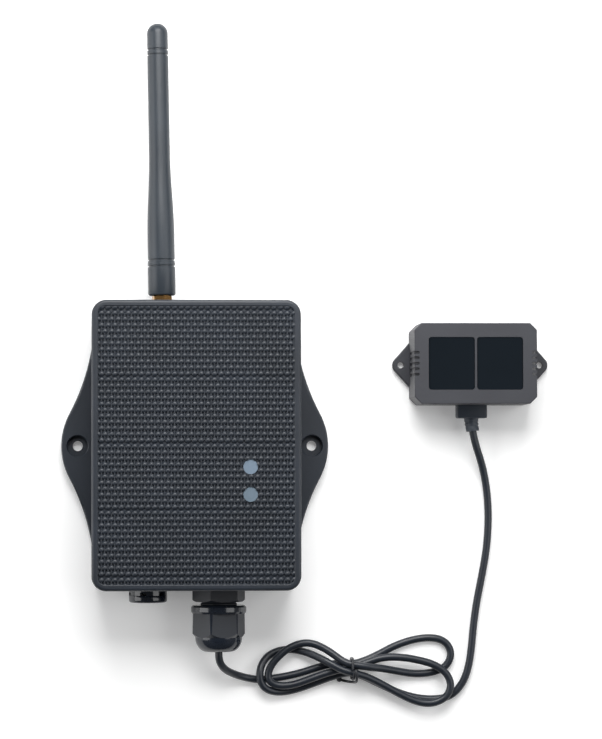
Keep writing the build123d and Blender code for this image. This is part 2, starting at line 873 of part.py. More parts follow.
# Cells
def cell(diameter, length, cap_d, cap_h):
    can = Cylinder(diameter / 2, length)
    can = fillet(can.edges().filter_by(GeomType.CIRCLE), cell_edge_r)
    return Rot(0, 90, 0) * (can + Pos(0, 0, length / 2) * Cylinder(cap_d / 2, cap_h, align=MIN))


def main_cell():
    return Pos(cell_x, cell_y, cell_z) * cell(cell_d, cell_length, cell_cap_d, cell_cap_h)


def pulse_cell():
    body = cell(pulse_cell_d, pulse_cell_length, cell_cap_d * 0.6, cell_cap_h)
    return Pos(pulse_cell_x, pulse_cell_y, pulse_cell_z) * body


# Lidar head, in its own frame and then moved to where it lies
def at_head(shape):
    return Pos(head_x, head_y, 0) * shape


def head_outline(grow=0.0):
    outline = Rectangle(head_width + 2 * grow, head_height + 2 * grow)
    outline = chamfer(outline.vertices(), head_corner)
    return fillet(outline.vertices(), head_corner_r)


def head_pocket():
    wide = head_width - 2 * head_side_wall
    tall = head_height - 2 * head_wall
    return RectangleRounded(wide, tall, head_corner - head_wall / 2)


def ear(side):
    # a straight-sided ear with a round tip about its hole
    x = side * ear_hole_spacing / 2
    root = side * (head_width / 2 - head_side_wall / 2)
    foot = Rectangle(head_side_wall, ear_base + head_side_wall / 2)
    outline = Pos(x, 0) * Circle(ear_tip_r) + Pos(root, 0) * foot
    body = extrude(make_hull(outline.edges()), ear_thickness)
    top = body.faces().sort_by(Axis.Z)[-1].edges().filter_by(GeomType.CIRCLE)
    body = fillet(top, ear_edge_r)
    return body - Pos(x, 0, 0) * rod(ear_hole_d, ear_thickness)


def head_seal_groove(gap):
    ring_x = head_width - 2 * head_side_wall + head_wall
    ring_y = head_height - head_wall
    half = head_seal_width / 2 + gap
    ring = plate(ring_x + 2 * half, ring_y + 2 * half, head_corner, head_seal_depth)
    return ring - plate(ring_x - 2 * half, ring_y - 2 * half, head_corner - 2 * half, head_seal_depth)


def throat(gap):
    # the way through the lower wall that the boot fills
    wide = boot_throat[0] + 2 * gap
    tall = boot_throat[1] + 2 * gap
    return Pos(0, -head_height / 2 + head_wall / 2, boot_z) * Box(wide, 2 * head_wall, tall)


def head_rear():
    body = extrude(head_outline(), head_split)
    body += ear(-1) + ear(1)
    body -= Pos(0, 0, head_wall) * extrude(head_pocket(), head_split)
    for x, y in corners(optic_pad_x, optic_pad_y):
        body += Pos(x, y, head_wall) * rod(optic_pad_d, optic_board_z - head_wall)
    for x, y in corners(head_post_x, head_post_y):
        body += Pos(x, y, 0) * rod(head_post_d, head_split)
        body -= Pos(x, y, 0) * rod(head_screw_d + 2 * screw_gap, head_split)
        body -= Pos(x, y, 0) * rod(head_screw_head_d + 2 * screw_gap, head_screw_seat)
    body -= Pos(0, 0, head_split - head_seal_depth) * head_seal_groove(gasket_gap)
    return at_head(body - throat(boot_gap))


def head_seal():
    body = Pos(0, 0, head_split - head_seal_depth) * head_seal_groove(0)
    wide = boot_throat[0] + 4 * boot_gap
    return at_head(body - Pos(0, -head_height / 2, head_split) * Box(wide, 4 * head_wall, 2 * head_wall))


def head_front():
    height = head_depth - head_split
    body = Pos(0, 0, head_split) * extrude(head_outline(), height, taper=head_draft)
    body = fillet(body.faces().sort_by(Axis.Z)[-1].edges(), head_edge_r)
    body -= Pos(0, 0, head_split) * extrude(head_pocket(), head_inside_z - head_split)
    for x, y in corners(head_post_x, head_post_y):
        post = rod(head_post_d, head_inside_z - head_split, head_split)
        post -= rod(head_screw_d + screw_gap, head_screw_length, head_split)
        body += Pos(x, y, 0) * post
    for side in (-1, 1):
        x = side * window_pitch / 2
        depth = window_sink + window_thickness
        body -= Pos(x, 0, 0) * plate(window_width, window_height, window_corner_r, depth, head_depth - depth)
        clear = 2 * window_ledge
        body -= Pos(x, 0, 0) * plate(
            window_width - clear, window_height - clear, window_corner_r, head_front_wall, head_inside_z
        )
        for step in range(grip_count):
            y = (step - (grip_count - 1) / 2) * grip_pitch
            body -= Pos(side * (head_width / 2 - grip_depth), y, head_split) * grip_slot(side, height)
    return at_head(body - throat(boot_gap))


def grip_slot(side, height):
    slot = rod(grip_width, height)
    return slot + Pos(side * grip_depth, 0, 0) * Box(2 * grip_depth, grip_width, height, align=MIN)


def head_window(side):
    wide = window_width - 2 * window_clear
    tall = window_height - 2 * window_clear
    z = head_depth - window_sink - window_thickness
    body = plate(wide, tall, window_corner_r - window_clear, window_thickness, z)
    return at_head(Pos(side * window_pitch / 2, 0, 0) * body)


def head_screws():
    one = screw(head_screw_d, head_screw_length, head_screw_head_d, head_screw_head_h)
    return [at_head(Pos(x, y, head_screw_seat) * one) for x, y in corners(head_post_x, head_post_y)]


def optic_board():
    wide = head_width - 2 * (head_side_wall + optic_board_gap)
    tall = head_height - 2 * (head_wall + optic_board_gap)
    body = plate(wide, tall, 1.0, optic_board_thickness, optic_board_z)
    for x, y in corners(head_post_x, head_post_y):
        notch = head_post_d + 2 * optic_board_gap
        body -= Pos(x, y, optic_board_z) * Box(notch, notch, optic_board_thickness, align=MIN)
    deep = boot_tail[1] + 2 * optic_board_gap
    wide = boot_tail[0] + 2 * optic_board_gap
    return at_head(body - Pos(0, -head_height / 2 + head_wall, boot_z) * Box(wide, 2 * deep, head_depth))


def optic_block():
    # one moulding with a barrel behind each window
    body = Pos(0, 0, head_split) * Box(*barrel_base, align=MIN)
    for side in (-1, 1):
        body += Pos(side * window_pitch / 2, 0, 0) * rod(2 * barrel_r, barrel_height, head_split)
    for side in (-1, 1):
        bore = rod(2 * barrel_bore_r, barrel_height, head_split)
        bore += rod(2 * lens_r + 0.2, lens_seat, head_split + barrel_height - lens_seat)
        body -= Pos(side * window_pitch / 2, 0, 0) * bore
    return at_head(body)


def lens(side):
    # flat towards the board, domed towards the window
    bulge_r = (lens_r**2 + lens_bulge**2) / (2 * lens_bulge)
    ball = Pos(0, 0, lens_edge + lens_bulge - bulge_r) * Sphere(bulge_r)
    body = rod(2 * lens_r, lens_edge + lens_bulge) & ball
    z = head_split + barrel_height - lens_seat
    return at_head(Pos(side * window_pitch / 2, 0, z) * body)


def emitter():
    body = Pos(-window_pitch / 2, 0, head_split) * Box(*emitter_size, align=MIN)
    return at_head(body)


def detector():
    body = Pos(window_pitch / 2, 0, 0) * rod(detector_d, detector_h, head_split)
    return at_head(body)


def head_boot():
    # moulded on the cord: a block on the wall, a throat through it, a neck
    front = -head_height / 2
    block = Pos(0, front - boot_length / 2, boot_z) * Box(boot_width, boot_length, boot_height)
    block = fillet(block.edges().filter_by(Axis.Y) + block.faces().sort_by(Axis.Y)[0].edges(), boot_edge_r)
    block += Pos(0, front + head_wall / 2, boot_z) * Box(boot_throat[0], head_wall, boot_throat[1])
    tail_y = front + head_wall + boot_tail[1] / 2 + boot_gap
    block += Pos(0, tail_y, boot_z) * Box(*boot_tail)
    block += Pos(0, front + head_wall + boot_gap / 2, boot_z) * Box(boot_throat[0], boot_gap, boot_throat[1])
    neck = Cone(neck_d / 2, neck_tip_d / 2, neck_length, align=MIN)
    for step in range(neck_grooves):
        z = neck_length * (step + 1) / (neck_grooves + 1)
        inner = neck_tip_d - 2 * neck_groove_depth
        neck -= tube(2 * neck_d, inner, neck_groove, z - neck_groove / 2)
    return at_head(block + Pos(0, front - boot_length, boot_z) * Rot(90, 0, 0) * neck)


# Cord
def cord_in_gland():
    # the cord inside the gland and the case, up to where its jacket ends
    inside = case_wall + gland_tail + 2.0
    return bottom_port(gland_x) * rod(cord_d, gland_end + inside, -inside)


def cord_wires():
    # four cores, fanned out from the jacket's end into the terminals
    start_y = -rear_length / 2 + case_wall + gland_tail + 2.0
    wires = []
    spread = (-1.0, -0.35, 0.35, 1.0)
    for pole in range(wire_count):
        x0 = gland_x + spread[pole] * 0.95
        z0 = port_z + (0.5 if pole % 2 else -0.5)
        x1 = terminal_x(pole)
        mouth_y = terminal_at[1] - terminal_depth / 2 + terminal_depth * 0.3
        mouth_z = board_top + 3.0
        points = [
            (x0, start_y, z0),
            (x0, start_y + 1.2, z0),
            (x0 + (x1 - x0) * 0.35, start_y + 2.4, z0 + 4.5),
            (x0 + (x1 - x0) * 0.8, start_y + 2.7, mouth_z - 3.2),
            (x1, start_y + 4.2, mouth_z),
            (x1, mouth_y, mouth_z),
        ]
        wires.append(pipe(points, wire_d)[0])
    return wires


def teardrop(circles, height, edge_r=0.0):
    outline = Sketch() + [Pos(x, y) * Circle(r) for x, y, r in circles]
    body = extrude(make_hull(outline.edges()), height)
    return fillet(body.faces().sort_by(Axis.Z)[-1].edges(), edge_r) if edge_r else body


def cord_hank():
    # the outer shape of the turns: a lobe each side of a tied waist
    left_waist = (tie_x - waist_half, tie_y, waist_half)
    right_waist = (tie_x + waist_half, tie_y, waist_half)
    left = [(39.8, -98.7, 12.2), (49.6, -93.6, 8.7), left_waist]
    upper = [(104.6, -92.9, 9.8), (89.0, -91.3, 5.2), right_waist]
    lower = [(104.4, -106.0, 9.4), (89.0, -104.8, 5.4), right_waist]
    body = teardrop(left, hank_height, hank_edge_r)
    body += teardrop(upper + lower, hank_height, hank_edge_r)
    ends = [(tie_x + side * 3 * waist_half, tie_y, waist_half) for side in (-1, 1)]
    body += teardrop(ends, waist_height, hank_edge_r)
    body -= teardrop([(40.5, -96.0, 3.4), (50.5, -94.4, 2.0)], hank_height)
    body -= teardrop([(104.0, -105.6, 2.6), (95.0, -103.4, 1.5)], hank_height)
    under = Box(tie_width + 2 * tie_gap, 4 * waist_half, tie_thickness + tie_gap, align=MIN)
    body -= Pos(tie_x, tie_y, 0) * under
    for route, ends in ((gland_route, (-1, -2)), (head_route, (0, 1))):
        end = Vector(*route[ends[0]])
        away = (Vector(*route[ends[1]]) - end).normalized()
        mouth = Plane(origin=end, z_dir=away)
        body -= mouth * rod(cord_d + 2 * cord_gap, 4 * cord_d)
    return body


def hank_tie():
    # a soft tie drawn round the waist, clear of the cord by its gap
    tall = waist_height - tie_thickness
    inner = RectangleRounded(2 * (waist_half + tie_gap), tall + tie_gap, 2 * tie_gap)
    grow = 2 * tie_thickness
    outer = RectangleRounded(2 * (waist_half + tie_gap) + grow, tall + tie_gap + grow, waist_half / 2)
    ring = extrude(Plane.YZ * (outer - inner), tie_width / 2, both=True)
    middle = tie_thickness + (tall + tie_gap) / 2
    return Pos(tie_x, tie_y, middle) * ring


def cord_run(points, name):
    body, radii, length = pipe(points, cord_d)
    print(name, "radii", [round(r, 1) for r in radii], "length", round(length, 1))
    return body


def cord_gland_run():
    mouth = (gland_x, -rear_length / 2 - gland_end, port_z)
    return cord_run([mouth] + gland_route, "cord_gland_run")


def cord_head_run():
    return cord_run(head_route + [(head_x, neck_end_y, boot_z)], "cord_head_run")


nodes = {
    "rear_case": rear_case,
    "front_cover": front_cover,
    "case_gasket": lambda: seal_ring(0.0),
    "case_screws": case_screws,
    "sma_connector": sma_connector,
    "sma_washer": sma_washer,
    "sma_nut": sma_nut,
    "antenna_sleeve": antenna_sleeve,
    "antenna_element": antenna_element,
    "antenna_coupling": antenna_coupling,
    "gland_body": gland_body,
    "gland_gasket": gland_gasket,
    "gland_locknut": gland_locknut,
    "gland_claw": gland_claw,
    "gland_seal": gland_seal,
    "gland_nut": gland_nut,
    "vent_plug": vent_plug,
    "vent_ring": vent_ring,
    "vent_cap": vent_cap,
    "vent_membrane": vent_membrane,
    "vent_locknut": vent_locknut,
    "led_window": led_window,
    "act_button": act_button,
    "switch_plunger": switch_plunger,
    "button_switch": button_switch,
    "status_led": status_led,
    "main_board": main_board,
    "board_screws": board_screws,
    "radio_module": radio_module,
    "terminal_block": terminal_block,
    "battery_socket": battery_socket,
    "battery_plug": battery_plug,
    "battery_leads": battery_leads,
    "coax_socket": coax_socket,
    "coax_plug": coax_plug,
    "coax_pigtail": coax_pigtail,
    "main_cell": main_cell,
    "pulse_cell": pulse_cell,
    "head_front": head_front,
    "head_rear": head_rear,
    "head_seal": head_seal,
    "head_screws": head_screws,
    "tx_window": lambda: head_window(-1),
    "rx_window": lambda: head_window(1),
    "tx_lens": lambda: lens(-1),
    "rx_lens": lambda: lens(1),
    "optic_block": optic_block,
    "optic_board": optic_board,
    "emitter": emitter,
    "detector": detector,
    "head_boot": head_boot,
    "cord_in_gland": cord_in_gland,
    "cord_wires": cord_wires,
    "cord_gland_run": cord_gland_run,
    "cord_hank": cord_hank,
    "hank_tie": hank_tie,
    "cord_head_run": cord_head_run,
}

os.makedirs("parts", exist_ok=True)
for name, make in nodes.items():
    shape = make()
    solids = ShapeList(shape).solids() if isinstance(shape, list) else shape.solids()
    whole = solids[0] if len(solids) == 1 else Compound(children=list(solids))
    export_step(whole, f"parts/{name}.step")
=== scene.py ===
# %% [markdown]
# # A lidar distance sensor with its radio box
# A battery radio box lies on its back beside the lidar head that it is wired to. The box has a
# whip antenna on its top wall and a cord gland and a vent on its bottom wall. The solids come
# from a CAD model, which stays the frame: this file gives the object its looks. Lengths are in
# metres here, and most of the values below are written in millimetres and multiplied by MM.

# %% Load the frame
import json
from math import cos, pi, radians, sin

import bmesh
import bpy
from mathutils import Matrix, Vector


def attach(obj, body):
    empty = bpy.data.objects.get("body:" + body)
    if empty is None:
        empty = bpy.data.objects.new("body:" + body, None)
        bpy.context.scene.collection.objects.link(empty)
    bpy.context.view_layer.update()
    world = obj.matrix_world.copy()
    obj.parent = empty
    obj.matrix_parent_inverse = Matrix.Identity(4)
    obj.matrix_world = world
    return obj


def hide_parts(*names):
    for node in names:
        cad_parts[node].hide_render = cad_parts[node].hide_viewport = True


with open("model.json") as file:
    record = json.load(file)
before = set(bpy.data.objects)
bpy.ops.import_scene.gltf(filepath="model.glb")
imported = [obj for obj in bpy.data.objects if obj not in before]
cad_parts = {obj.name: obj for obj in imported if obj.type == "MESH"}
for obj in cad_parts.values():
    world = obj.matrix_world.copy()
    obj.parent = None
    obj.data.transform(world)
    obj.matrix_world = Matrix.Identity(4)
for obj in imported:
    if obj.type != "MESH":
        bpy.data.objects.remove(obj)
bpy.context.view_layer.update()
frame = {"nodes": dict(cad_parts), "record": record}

MM = 0.001
nodes = frame["nodes"]

# %% [markdown]
# ## Camera
# The photograph was taken from nearly straight above, with a long lens, so that the walls of the
# box show only as thin strips. The camera's place was found by matching a few corners of known
# size, and is written here as it came out.

# %% Camera
PHOTO_HEIGHT = 739
FOCAL_PIXELS = 3001.4
SENSOR = 36.0
CAMERA_PLACE = (-26.5, -12.0, 1326.6)
CAMERA_TURN = (1.98, -3.17, -0.11)
camera_data = bpy.data.cameras.new("camera")
camera_data.sensor_width = SENSOR
camera_data.lens = FOCAL_PIXELS / PHOTO_HEIGHT * SENSOR
camera = bpy.data.objects.new("camera", camera_data)
camera.location = Vector(CAMERA_PLACE) * MM
camera.rotation_euler = [radians(turn) for turn in CAMERA_TURN]
bpy.context.scene.collection.objects.link(camera)
bpy.context.scene.camera = camera
print("lens", round(camera_data.lens, 1), "mm")

# %% [markdown]
# ## The cord
# A round PVC cord of 3.3 mm runs out of the gland, down to the table, twice round a figure of
# eight that a soft tie holds at its waist, and up to the head. It could be swept as a mesh, but a
# curve with a round bevel is what a cord is: one line with a thickness. The line is a NURBS spline
# whose points were placed along the photograph's turns, low under each crossing and
# high over it. Its order and its end points are set once all its points are there.

# %% Cord
CORD_DIAMETER = 3.3 * MM
from_gland = [
    (10.1, -89.8, 14.5), (10.1, -92.8, 14.5), (11.2, -95.8, 13.0), (13.2, -98.0, 10.2),
    (15.9, -99.6, 7.0), (19.2, -101.0, 4.2), (23.3, -102.2, 2.3), (28.6, -103.1, 1.65),
]
turns = [
    (37.0, -102.1, 1.65), (46.3, -100.2, 1.65), (54.5, -97.5, 1.75), (61.0, -95.9, 2.1),
    (68.8, -96.3, 3.15), (74.0, -95.2, 2.2), (80.7, -92.3, 1.75), (88.1, -88.3, 1.65),
    (96.5, -85.5, 1.65), (104.8, -84.6, 1.65), (110.9, -86.5, 1.65), (113.6, -91.8, 1.65),
    (111.2, -97.6, 1.65), (105.2, -100.2, 1.65), (97.8, -100.9, 1.65), (90.5, -99.7, 2.9),
    (83.5, -98.2, 6.3), (76.4, -97.2, 9.4), (68.9, -96.2, 9.45), (65.0, -94.9, 8.3),
    (61.0, -91.9, 7.0), (57.1, -89.3, 5.9), (52.3, -87.1, 5.3), (48.3, -86.6, 5.2),
    (44.3, -87.5, 5.2), (40.4, -89.4, 5.25), (37.3, -92.0, 5.2), (34.6, -94.8, 5.15),
    (32.7, -97.8, 5.15), (31.9, -100.7, 5.2), (32.6, -103.4, 5.2), (35.3, -105.2, 5.15),
    (39.2, -105.6, 5.1), (43.9, -104.9, 5.2), (49.6, -102.9, 5.1), (55.2, -100.9, 5.0),
    (59.9, -99.4, 5.1), (64.3, -98.4, 5.3), (68.6, -98.05, 6.0), (74.6, -95.8, 5.35),
    (82.5, -93.1, 5.1), (91.0, -93.2, 5.1), (98.6, -94.5, 4.8),
    (105.9, -96.6, 5.1), (111.2, -100.6, 5.15), (113.0, -106.0, 5.15), (110.6, -111.2, 5.15),
    (104.0, -114.0, 5.1), (96.4, -112.6, 5.1), (88.0, -108.3, 5.15), (80.0, -103.8, 6.0),
    (74.0, -101.0, 8.2), (68.6, -99.7, 9.35), (63.7, -98.2, 8.9), (59.3, -95.7, 8.2),
    (54.9, -93.4, 6.0), (50.6, -91.5, 4.0), (46.3, -90.2, 2.3), (41.9, -89.6, 1.65), (37.9, -90.0, 1.65),
    (34.4, -91.1, 1.75), (31.2, -93.3, 2.4), (29.0, -96.6, 4.0), (28.3, -100.2, 5.2),
    (28.6, -103.5, 5.25), (30.5, -106.5, 4.9), (34.2, -108.2, 3.7), (39.2, -108.4, 2.3),
    (44.5, -107.3, 1.7), (49.8, -105.6, 1.65), (55.1, -103.6, 1.8), (59.9, -101.9, 2.1),
    (64.3, -100.5, 2.5), (68.8, -99.8, 3.15), (73.4, -101.2, 2.2), (81.6, -105.2, 1.75),
    (91.2, -109.8, 1.65), (101.4, -112.1, 1.65),
]
to_head = [
    (110.8, -111.6, 1.65), (115.4, -108.6, 1.65), (118.8, -103.9, 1.65), (120.9, -98.0, 1.65),
    (122.2, -90.0, 1.65), (123.1, -79.5, 1.65), (124.7, -68.5, 1.65), (127.0, -57.5, 1.65),
    (129.0, -46.5, 1.65), (129.9, -36.0, 1.65), (129.9, -27.0, 1.65), (129.2, -19.0, 2.0),
    (127.9, -12.0, 3.0), (126.2, -6.2, 4.6), (124.5, -1.4, 5.9), (123.3, 2.8, 6.45),
    (122.6, 6.4, 6.5),
]


def cord_curve(name, points, diameter):
    """A round cord along one smooth line, which its control points pull towards them."""
    curve = bpy.data.curves.new(name, "CURVE")
    curve.dimensions = "3D"
    # the box round a curve grows by its points' radius, so the thickness sits there,
    # and the bevel that it multiplies is one metre
    curve.bevel_depth = 1.0
    curve.bevel_resolution = 6
    curve.resolution_u = 6
    spline = curve.splines.new("NURBS")
    spline.points.add(len(points) - 1)
    for point, place in zip(spline.points, points):
        point.co = (*(Vector(place) * MM), 1.0)
        point.radius = diameter / 2
    spline.order_u = 3
    spline.use_endpoint_u = True
    cord = bpy.data.objects.new(name, curve)
    bpy.context.scene.collection.objects.link(cord)
    return cord


cord_points = from_gland + turns + to_head
cord = cord_curve("cord", cord_points, CORD_DIAMETER)
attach(cord, "sensor")
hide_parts("cord_gland_run", "cord_hank", "cord_head_run")
print("cord of", len(cord_points), "points")

# %% [markdown]
# ## Helpers for materials
# A material is a small tree of nodes. It could be wired by hand in the editor, but then nobody can
# read it as text. So one function adds a node, and fills or links its inputs by their names.
# Colours are written as the hex codes that a screen uses. Shaders work in linear light, so one
# function turns the codes into that. Patterns are given by their real size in millimetres.

# %% Colour and node helpers
def linear(code):
    """Turns an sRGB hex colour into the linear values that shaders work in."""
    parts = [int(code[i:i + 2], 16) / 255 for i in (1, 3, 5)]
    return (*[p / 12.92 if p <= 0.04045 else ((p + 0.055) / 1.055) ** 2.4 for p in parts], 1.0)


def per(size_mm):
    """The scale of a pattern whose features are this many millimetres apart."""
    return 1 / (size_mm * MM)


def add(tree, kind, inputs=None, **settings):
    """Adds one node with its settings, and fills or links its inputs."""
    node = tree.nodes.new(kind)
    for name, value in settings.items():
        setattr(node, name, value)
    for name, value in (inputs or {}).items():
        if isinstance(value, bpy.types.NodeSocket):
            tree.links.new(value, node.inputs[name])
        else:
            node.inputs[name].default_value = value
    return node


def new_finish(name, **constants):
    """A material with one shader, whose own sockets hold the constant values."""
    material = bpy.data.materials.new(name)
    material.use_nodes = True
    tree = material.node_tree
    tree.nodes.clear()
    values = {key.replace("_", " "): value for key, value in constants.items()}
    shader = add(tree, "ShaderNodeBsdfPrincipled", values)
    add(tree, "ShaderNodeOutputMaterial", {"Surface": shader.outputs["BSDF"]})
    return material, tree, shader


print("1 mm apart is a scale of", per(1))

# %% [markdown]
# ## The floor
# The object lies on white opal acrylic. It is lit a little from below, which keeps its white even
# and lets the screw holes show bright. A plain white plane would do, but a real sheet has a slow
# change of tone, which one soft noise gives.

# %% Floor
CAST_SIZE = 40
opal, tree, shader = new_finish(
    "opal_acrylic", Roughness=0.9, Specular_IOR_Level=0.2,
    Emission_Color=linear("#FFFFFF"), Emission_Strength=0.18,
)
where = add(tree, "ShaderNodeTexCoord")
cast = add(tree, "ShaderNodeTexNoise", {"Vector": where.outputs["Object"], "Scale": per(CAST_SIZE)})
tone = add(tree, "ShaderNodeMix", {
    "Factor": cast.outputs["Fac"], "A": linear("#F4F4F3"), "B": linear("#F7F7F7"),
}, data_type="RGBA")
tree.links.new(tone.outputs["Result"], shader.inputs["Base Color"])

FLOOR_HALF = 3.0
bm = bmesh.new()
bmesh.ops.create_grid(bm, x_segments=1, y_segments=1, size=FLOOR_HALF)
floor_mesh = bpy.data.meshes.new("floor")
bm.to_mesh(floor_mesh)
bm.free()
floor_mesh.materials.append(opal)
floor = bpy.data.objects.new("floor", floor_mesh)
bpy.context.scene.collection.objects.link(floor)
print("floor", 2 * FLOOR_HALF, "m across")

# %% [markdown]
# ## The lights
# Two large soft boxes stand at the sides, a small one is close beyond the antenna, and none is
# overhead. Round black parts, such as the gland's rim and its dome, mirror this set-up: they show
# one pale patch at each side of a dark middle. The small box makes the top of the cover paler than
# its foot and picks out the upper side of each bead. The room is dim grey, and dimmest overhead,
# so that flat black faces stay black. The colours are shown as they are, without a film curve, so
# that the white reaches plain white.

# %% Lights
soft_boxes = [
    # name, place, aimed at, size and power
    ("left", (-1.10, 0.10, 0.50), (0.03, 0.0, 0.0), 0.95, 8.0),
    ("right", (0.85, 0.10, 0.80), (0.03, 0.0, 0.0), 0.75, 4.2),
    ("beyond", (0.03, 0.38, 0.42), (0.03, 0.05, 0.0), 0.4, 4.4),
]
boxes = {}
for name, place, aim, size, power in soft_boxes:
    lamp = bpy.data.lights.new(name, "AREA")
    lamp.size = size
    lamp.energy = power
    box = bpy.data.objects.new(name, lamp)
    box.location = place
    box.rotation_euler = (Vector(aim) - Vector(place)).to_track_quat("-Z", "Y").to_euler()
    box.visible_camera = False
    bpy.context.scene.collection.objects.link(box)
    boxes[name] = box
# the head's polished windows would mirror the small box as white squares, so it doesn't light them
unlit = bpy.data.collections.new("unlit_windows")
for node in ("rx_window", "tx_window"):
    unlit.objects.link(bpy.data.objects[node])
for entry in unlit.collection_objects:
    entry.light_linking.link_state = "EXCLUDE"
boxes["beyond"].light_linking.receiver_collection = unlit
print(len(boxes), "soft boxes")

# %% [markdown]
# The room around is a world shader. Its brightness is worked out from the direction of view: it
# fades from the walls to the top, and grows from the near side to the far side.

# %% Room
ROOM_WALLS, ROOM_TOP = 0.35, 0.12
ROOM_NEAR, ROOM_FAR = 0.3, 1.35
# heights on a sphere of radius 1, where 1 is straight above, and how far its sides are away
FADE_START, FADE_END = 0.6, 0.85
SIDES = 0.9
room = bpy.data.worlds.new("room")
room.use_nodes = True
air = room.node_tree
air.nodes.clear()
direction = add(air, "ShaderNodeTexCoord").outputs["Generated"]
along = add(air, "ShaderNodeSeparateXYZ", {"Vector": direction})
by_height = add(air, "ShaderNodeMapRange", {
    "Value": along.outputs["Z"], "From Min": FADE_START, "From Max": FADE_END,
    "To Min": ROOM_WALLS, "To Max": ROOM_TOP,
}).outputs["Result"]
by_side = add(air, "ShaderNodeMapRange", {
    "Value": along.outputs["Y"], "From Min": -SIDES, "From Max": SIDES,
    "To Min": ROOM_NEAR, "To Max": ROOM_FAR,
}).outputs["Result"]
glow = add(air, "ShaderNodeMath", {0: by_height, 1: by_side}, operation="MULTIPLY").outputs["Value"]
room_light = add(air, "ShaderNodeBackground", {"Color": linear("#FAFBFD"), "Strength": glow})
add(air, "ShaderNodeOutputWorld", {"Surface": room_light.outputs["Background"]})
bpy.context.scene.world = room
bpy.context.scene.view_settings.view_transform = "Standard"
print("room from", ROOM_TOP * ROOM_NEAR, "to", ROOM_WALLS * ROOM_FAR)

# %% [markdown]
# ## Finishes
# Nearly everything here is moulded plastic. Its mould was spark-eroded, which leaves a fine
# satin grain, and the mixed pigment gives slow changes of tone. So one function makes such a
# finish from two colours, a grain size and a range of gloss. Metals, the boards, the frosted dots
# and the windows have patterns of their own.

# %% Moulded finish
# the pigment's clouds in millimetres, and the share that the fine grain has in the tone
CLOUD_SIZE = 22
GRAIN_SHARE = 0.45


def moulded(name, deep, pale, grain, relief, rough, **constants):
    """Moulded plastic or rubber: cloudy pigment under a fine grain that breaks the gloss."""
    material, tree, shader = new_finish(name, **constants)
    where = add(tree, "ShaderNodeTexCoord").outputs["Object"]
    cloud = add(tree, "ShaderNodeTexNoise", {
        "Vector": where, "Scale": per(CLOUD_SIZE), "Detail": 3.0,
    })
    fine = add(tree, "ShaderNodeTexNoise", {"Vector": where, "Scale": per(grain), "Detail": 5.0})
    mixed = add(tree, "ShaderNodeMix", {
        "Factor": GRAIN_SHARE, "A": cloud.outputs["Fac"], "B": fine.outputs["Fac"],
    }, data_type="FLOAT")
    spread = add(tree, "ShaderNodeMapRange", {
        "Value": mixed.outputs[0], "From Min": 0.35, "From Max": 0.65, "To Min": 0.0, "To Max": 1.0,
    })
    tone = add(tree, "ShaderNodeMix", {
        "Factor": spread.outputs["Result"], "A": linear(deep), "B": linear(pale),
    }, data_type="RGBA")
    gloss = add(tree, "ShaderNodeMapRange", {
        "Value": fine.outputs["Fac"], "From Min": 0.3, "From Max": 0.7,
        "To Min": rough[0], "To Max": rough[1],
    })
    bump = add(tree, "ShaderNodeBump", {
        "Height": fine.outputs["Fac"], "Strength": 0.6, "Distance": relief * MM,
    })
    tree.links.new(tone.outputs["Result"], shader.inputs["Base Color"])
    tree.links.new(gloss.outputs["Result"], shader.inputs["Roughness"])
    tree.links.new(bump.outputs["Normal"], shader.inputs["Normal"])
    return material


# Spark-eroded ABS of the box: dark slate, half matt, with soft edges of light on its bezel
case_abs = moulded("case_abs", "#161C24", "#1E252F", 0.5, 0.03, (0.40, 0.54), IOR=1.53)
# The head's ABS: the same mould finish in a slightly warmer, lighter grey
head_abs = moulded("head_abs", "#2A2B31", "#313339", 0.45, 0.03, (0.46, 0.6), IOR=1.53)
# Injection-moulded polyurethane of the antenna: even, satin, a little dusty
antenna_rubber = moulded("antenna_rubber", "#1D242B", "#252D35", 0.4, 0.02, (0.36, 0.46), IOR=1.5)
# Glass-filled nylon of the gland's flats: dark slate, satin from the fibres at its face
gland_nylon = moulded("gland_nylon", "#1B1F26", "#22262D", 0.5, 0.015, (0.5, 0.6), IOR=1.53)
# The same nylon where its mould was polished, on rims and domes: near black, a clear gloss
polished_nylon = moulded("polished_nylon", "#171B24", "#1C222B", 0.8, 0.003, (0.1, 0.16), IOR=1.53)
# Extruded PVC of the cord: black, smooth, half gloss
cord_pvc = moulded("cord_pvc", "#171C24", "#1D232C", 1.2, 0.008, (0.36, 0.44), IOR=1.5)
# Softer PVC of the boot on the cord: slate, satin
boot_pvc = moulded("boot_pvc", "#2F3741", "#38404B", 0.5, 0.015, (0.4, 0.5), IOR=1.52)
# The thin soft tie: matt black PVC
tie_pvc = moulded("tie_pvc", "#1A1C22", "#22252B", 0.6, 0.02, (0.4, 0.5), IOR=1.53)
# Nitrile rubber of the seals: matt, carbon black
seal_rubber = moulded("seal_rubber", "#1A1A1A", "#232323", 0.5, 0.02, (0.7, 0.85), IOR=1.52)
# Polyamide of the connectors and the switch: plain black, dull
switch_body = moulded("switch_body", "#1B1B1C", "#242426", 0.5, 0.02, (0.5, 0.65), IOR=1.53)
# White epoxy body of the light: slightly yellow, satin
led_body = moulded("led_body", "#E2E0D6", "#EFEDE4", 0.3, 0.01, (0.35, 0.45), IOR=1.54)
# Stretched fluoropolymer film over the vent: white and matt
membrane = moulded("membrane", "#E6E7E6", "#F2F2F1", 0.2, 0.01, (0.75, 0.9), IOR=1.38)
# Shrink film round the cells: bright green, glossy
cell_wrap = moulded("cell_wrap", "#1F6B3A", "#27804A", 6.0, 0.03, (0.2, 0.3), IOR=1.5)
# Insulation of the thin wires: smooth PVC
wire_cover = moulded("wire_cover", "#2A2A2C", "#38383B", 0.6, 0.01, (0.3, 0.4), IOR=1.53)
print(len(bpy.data.materials), "finishes so far")
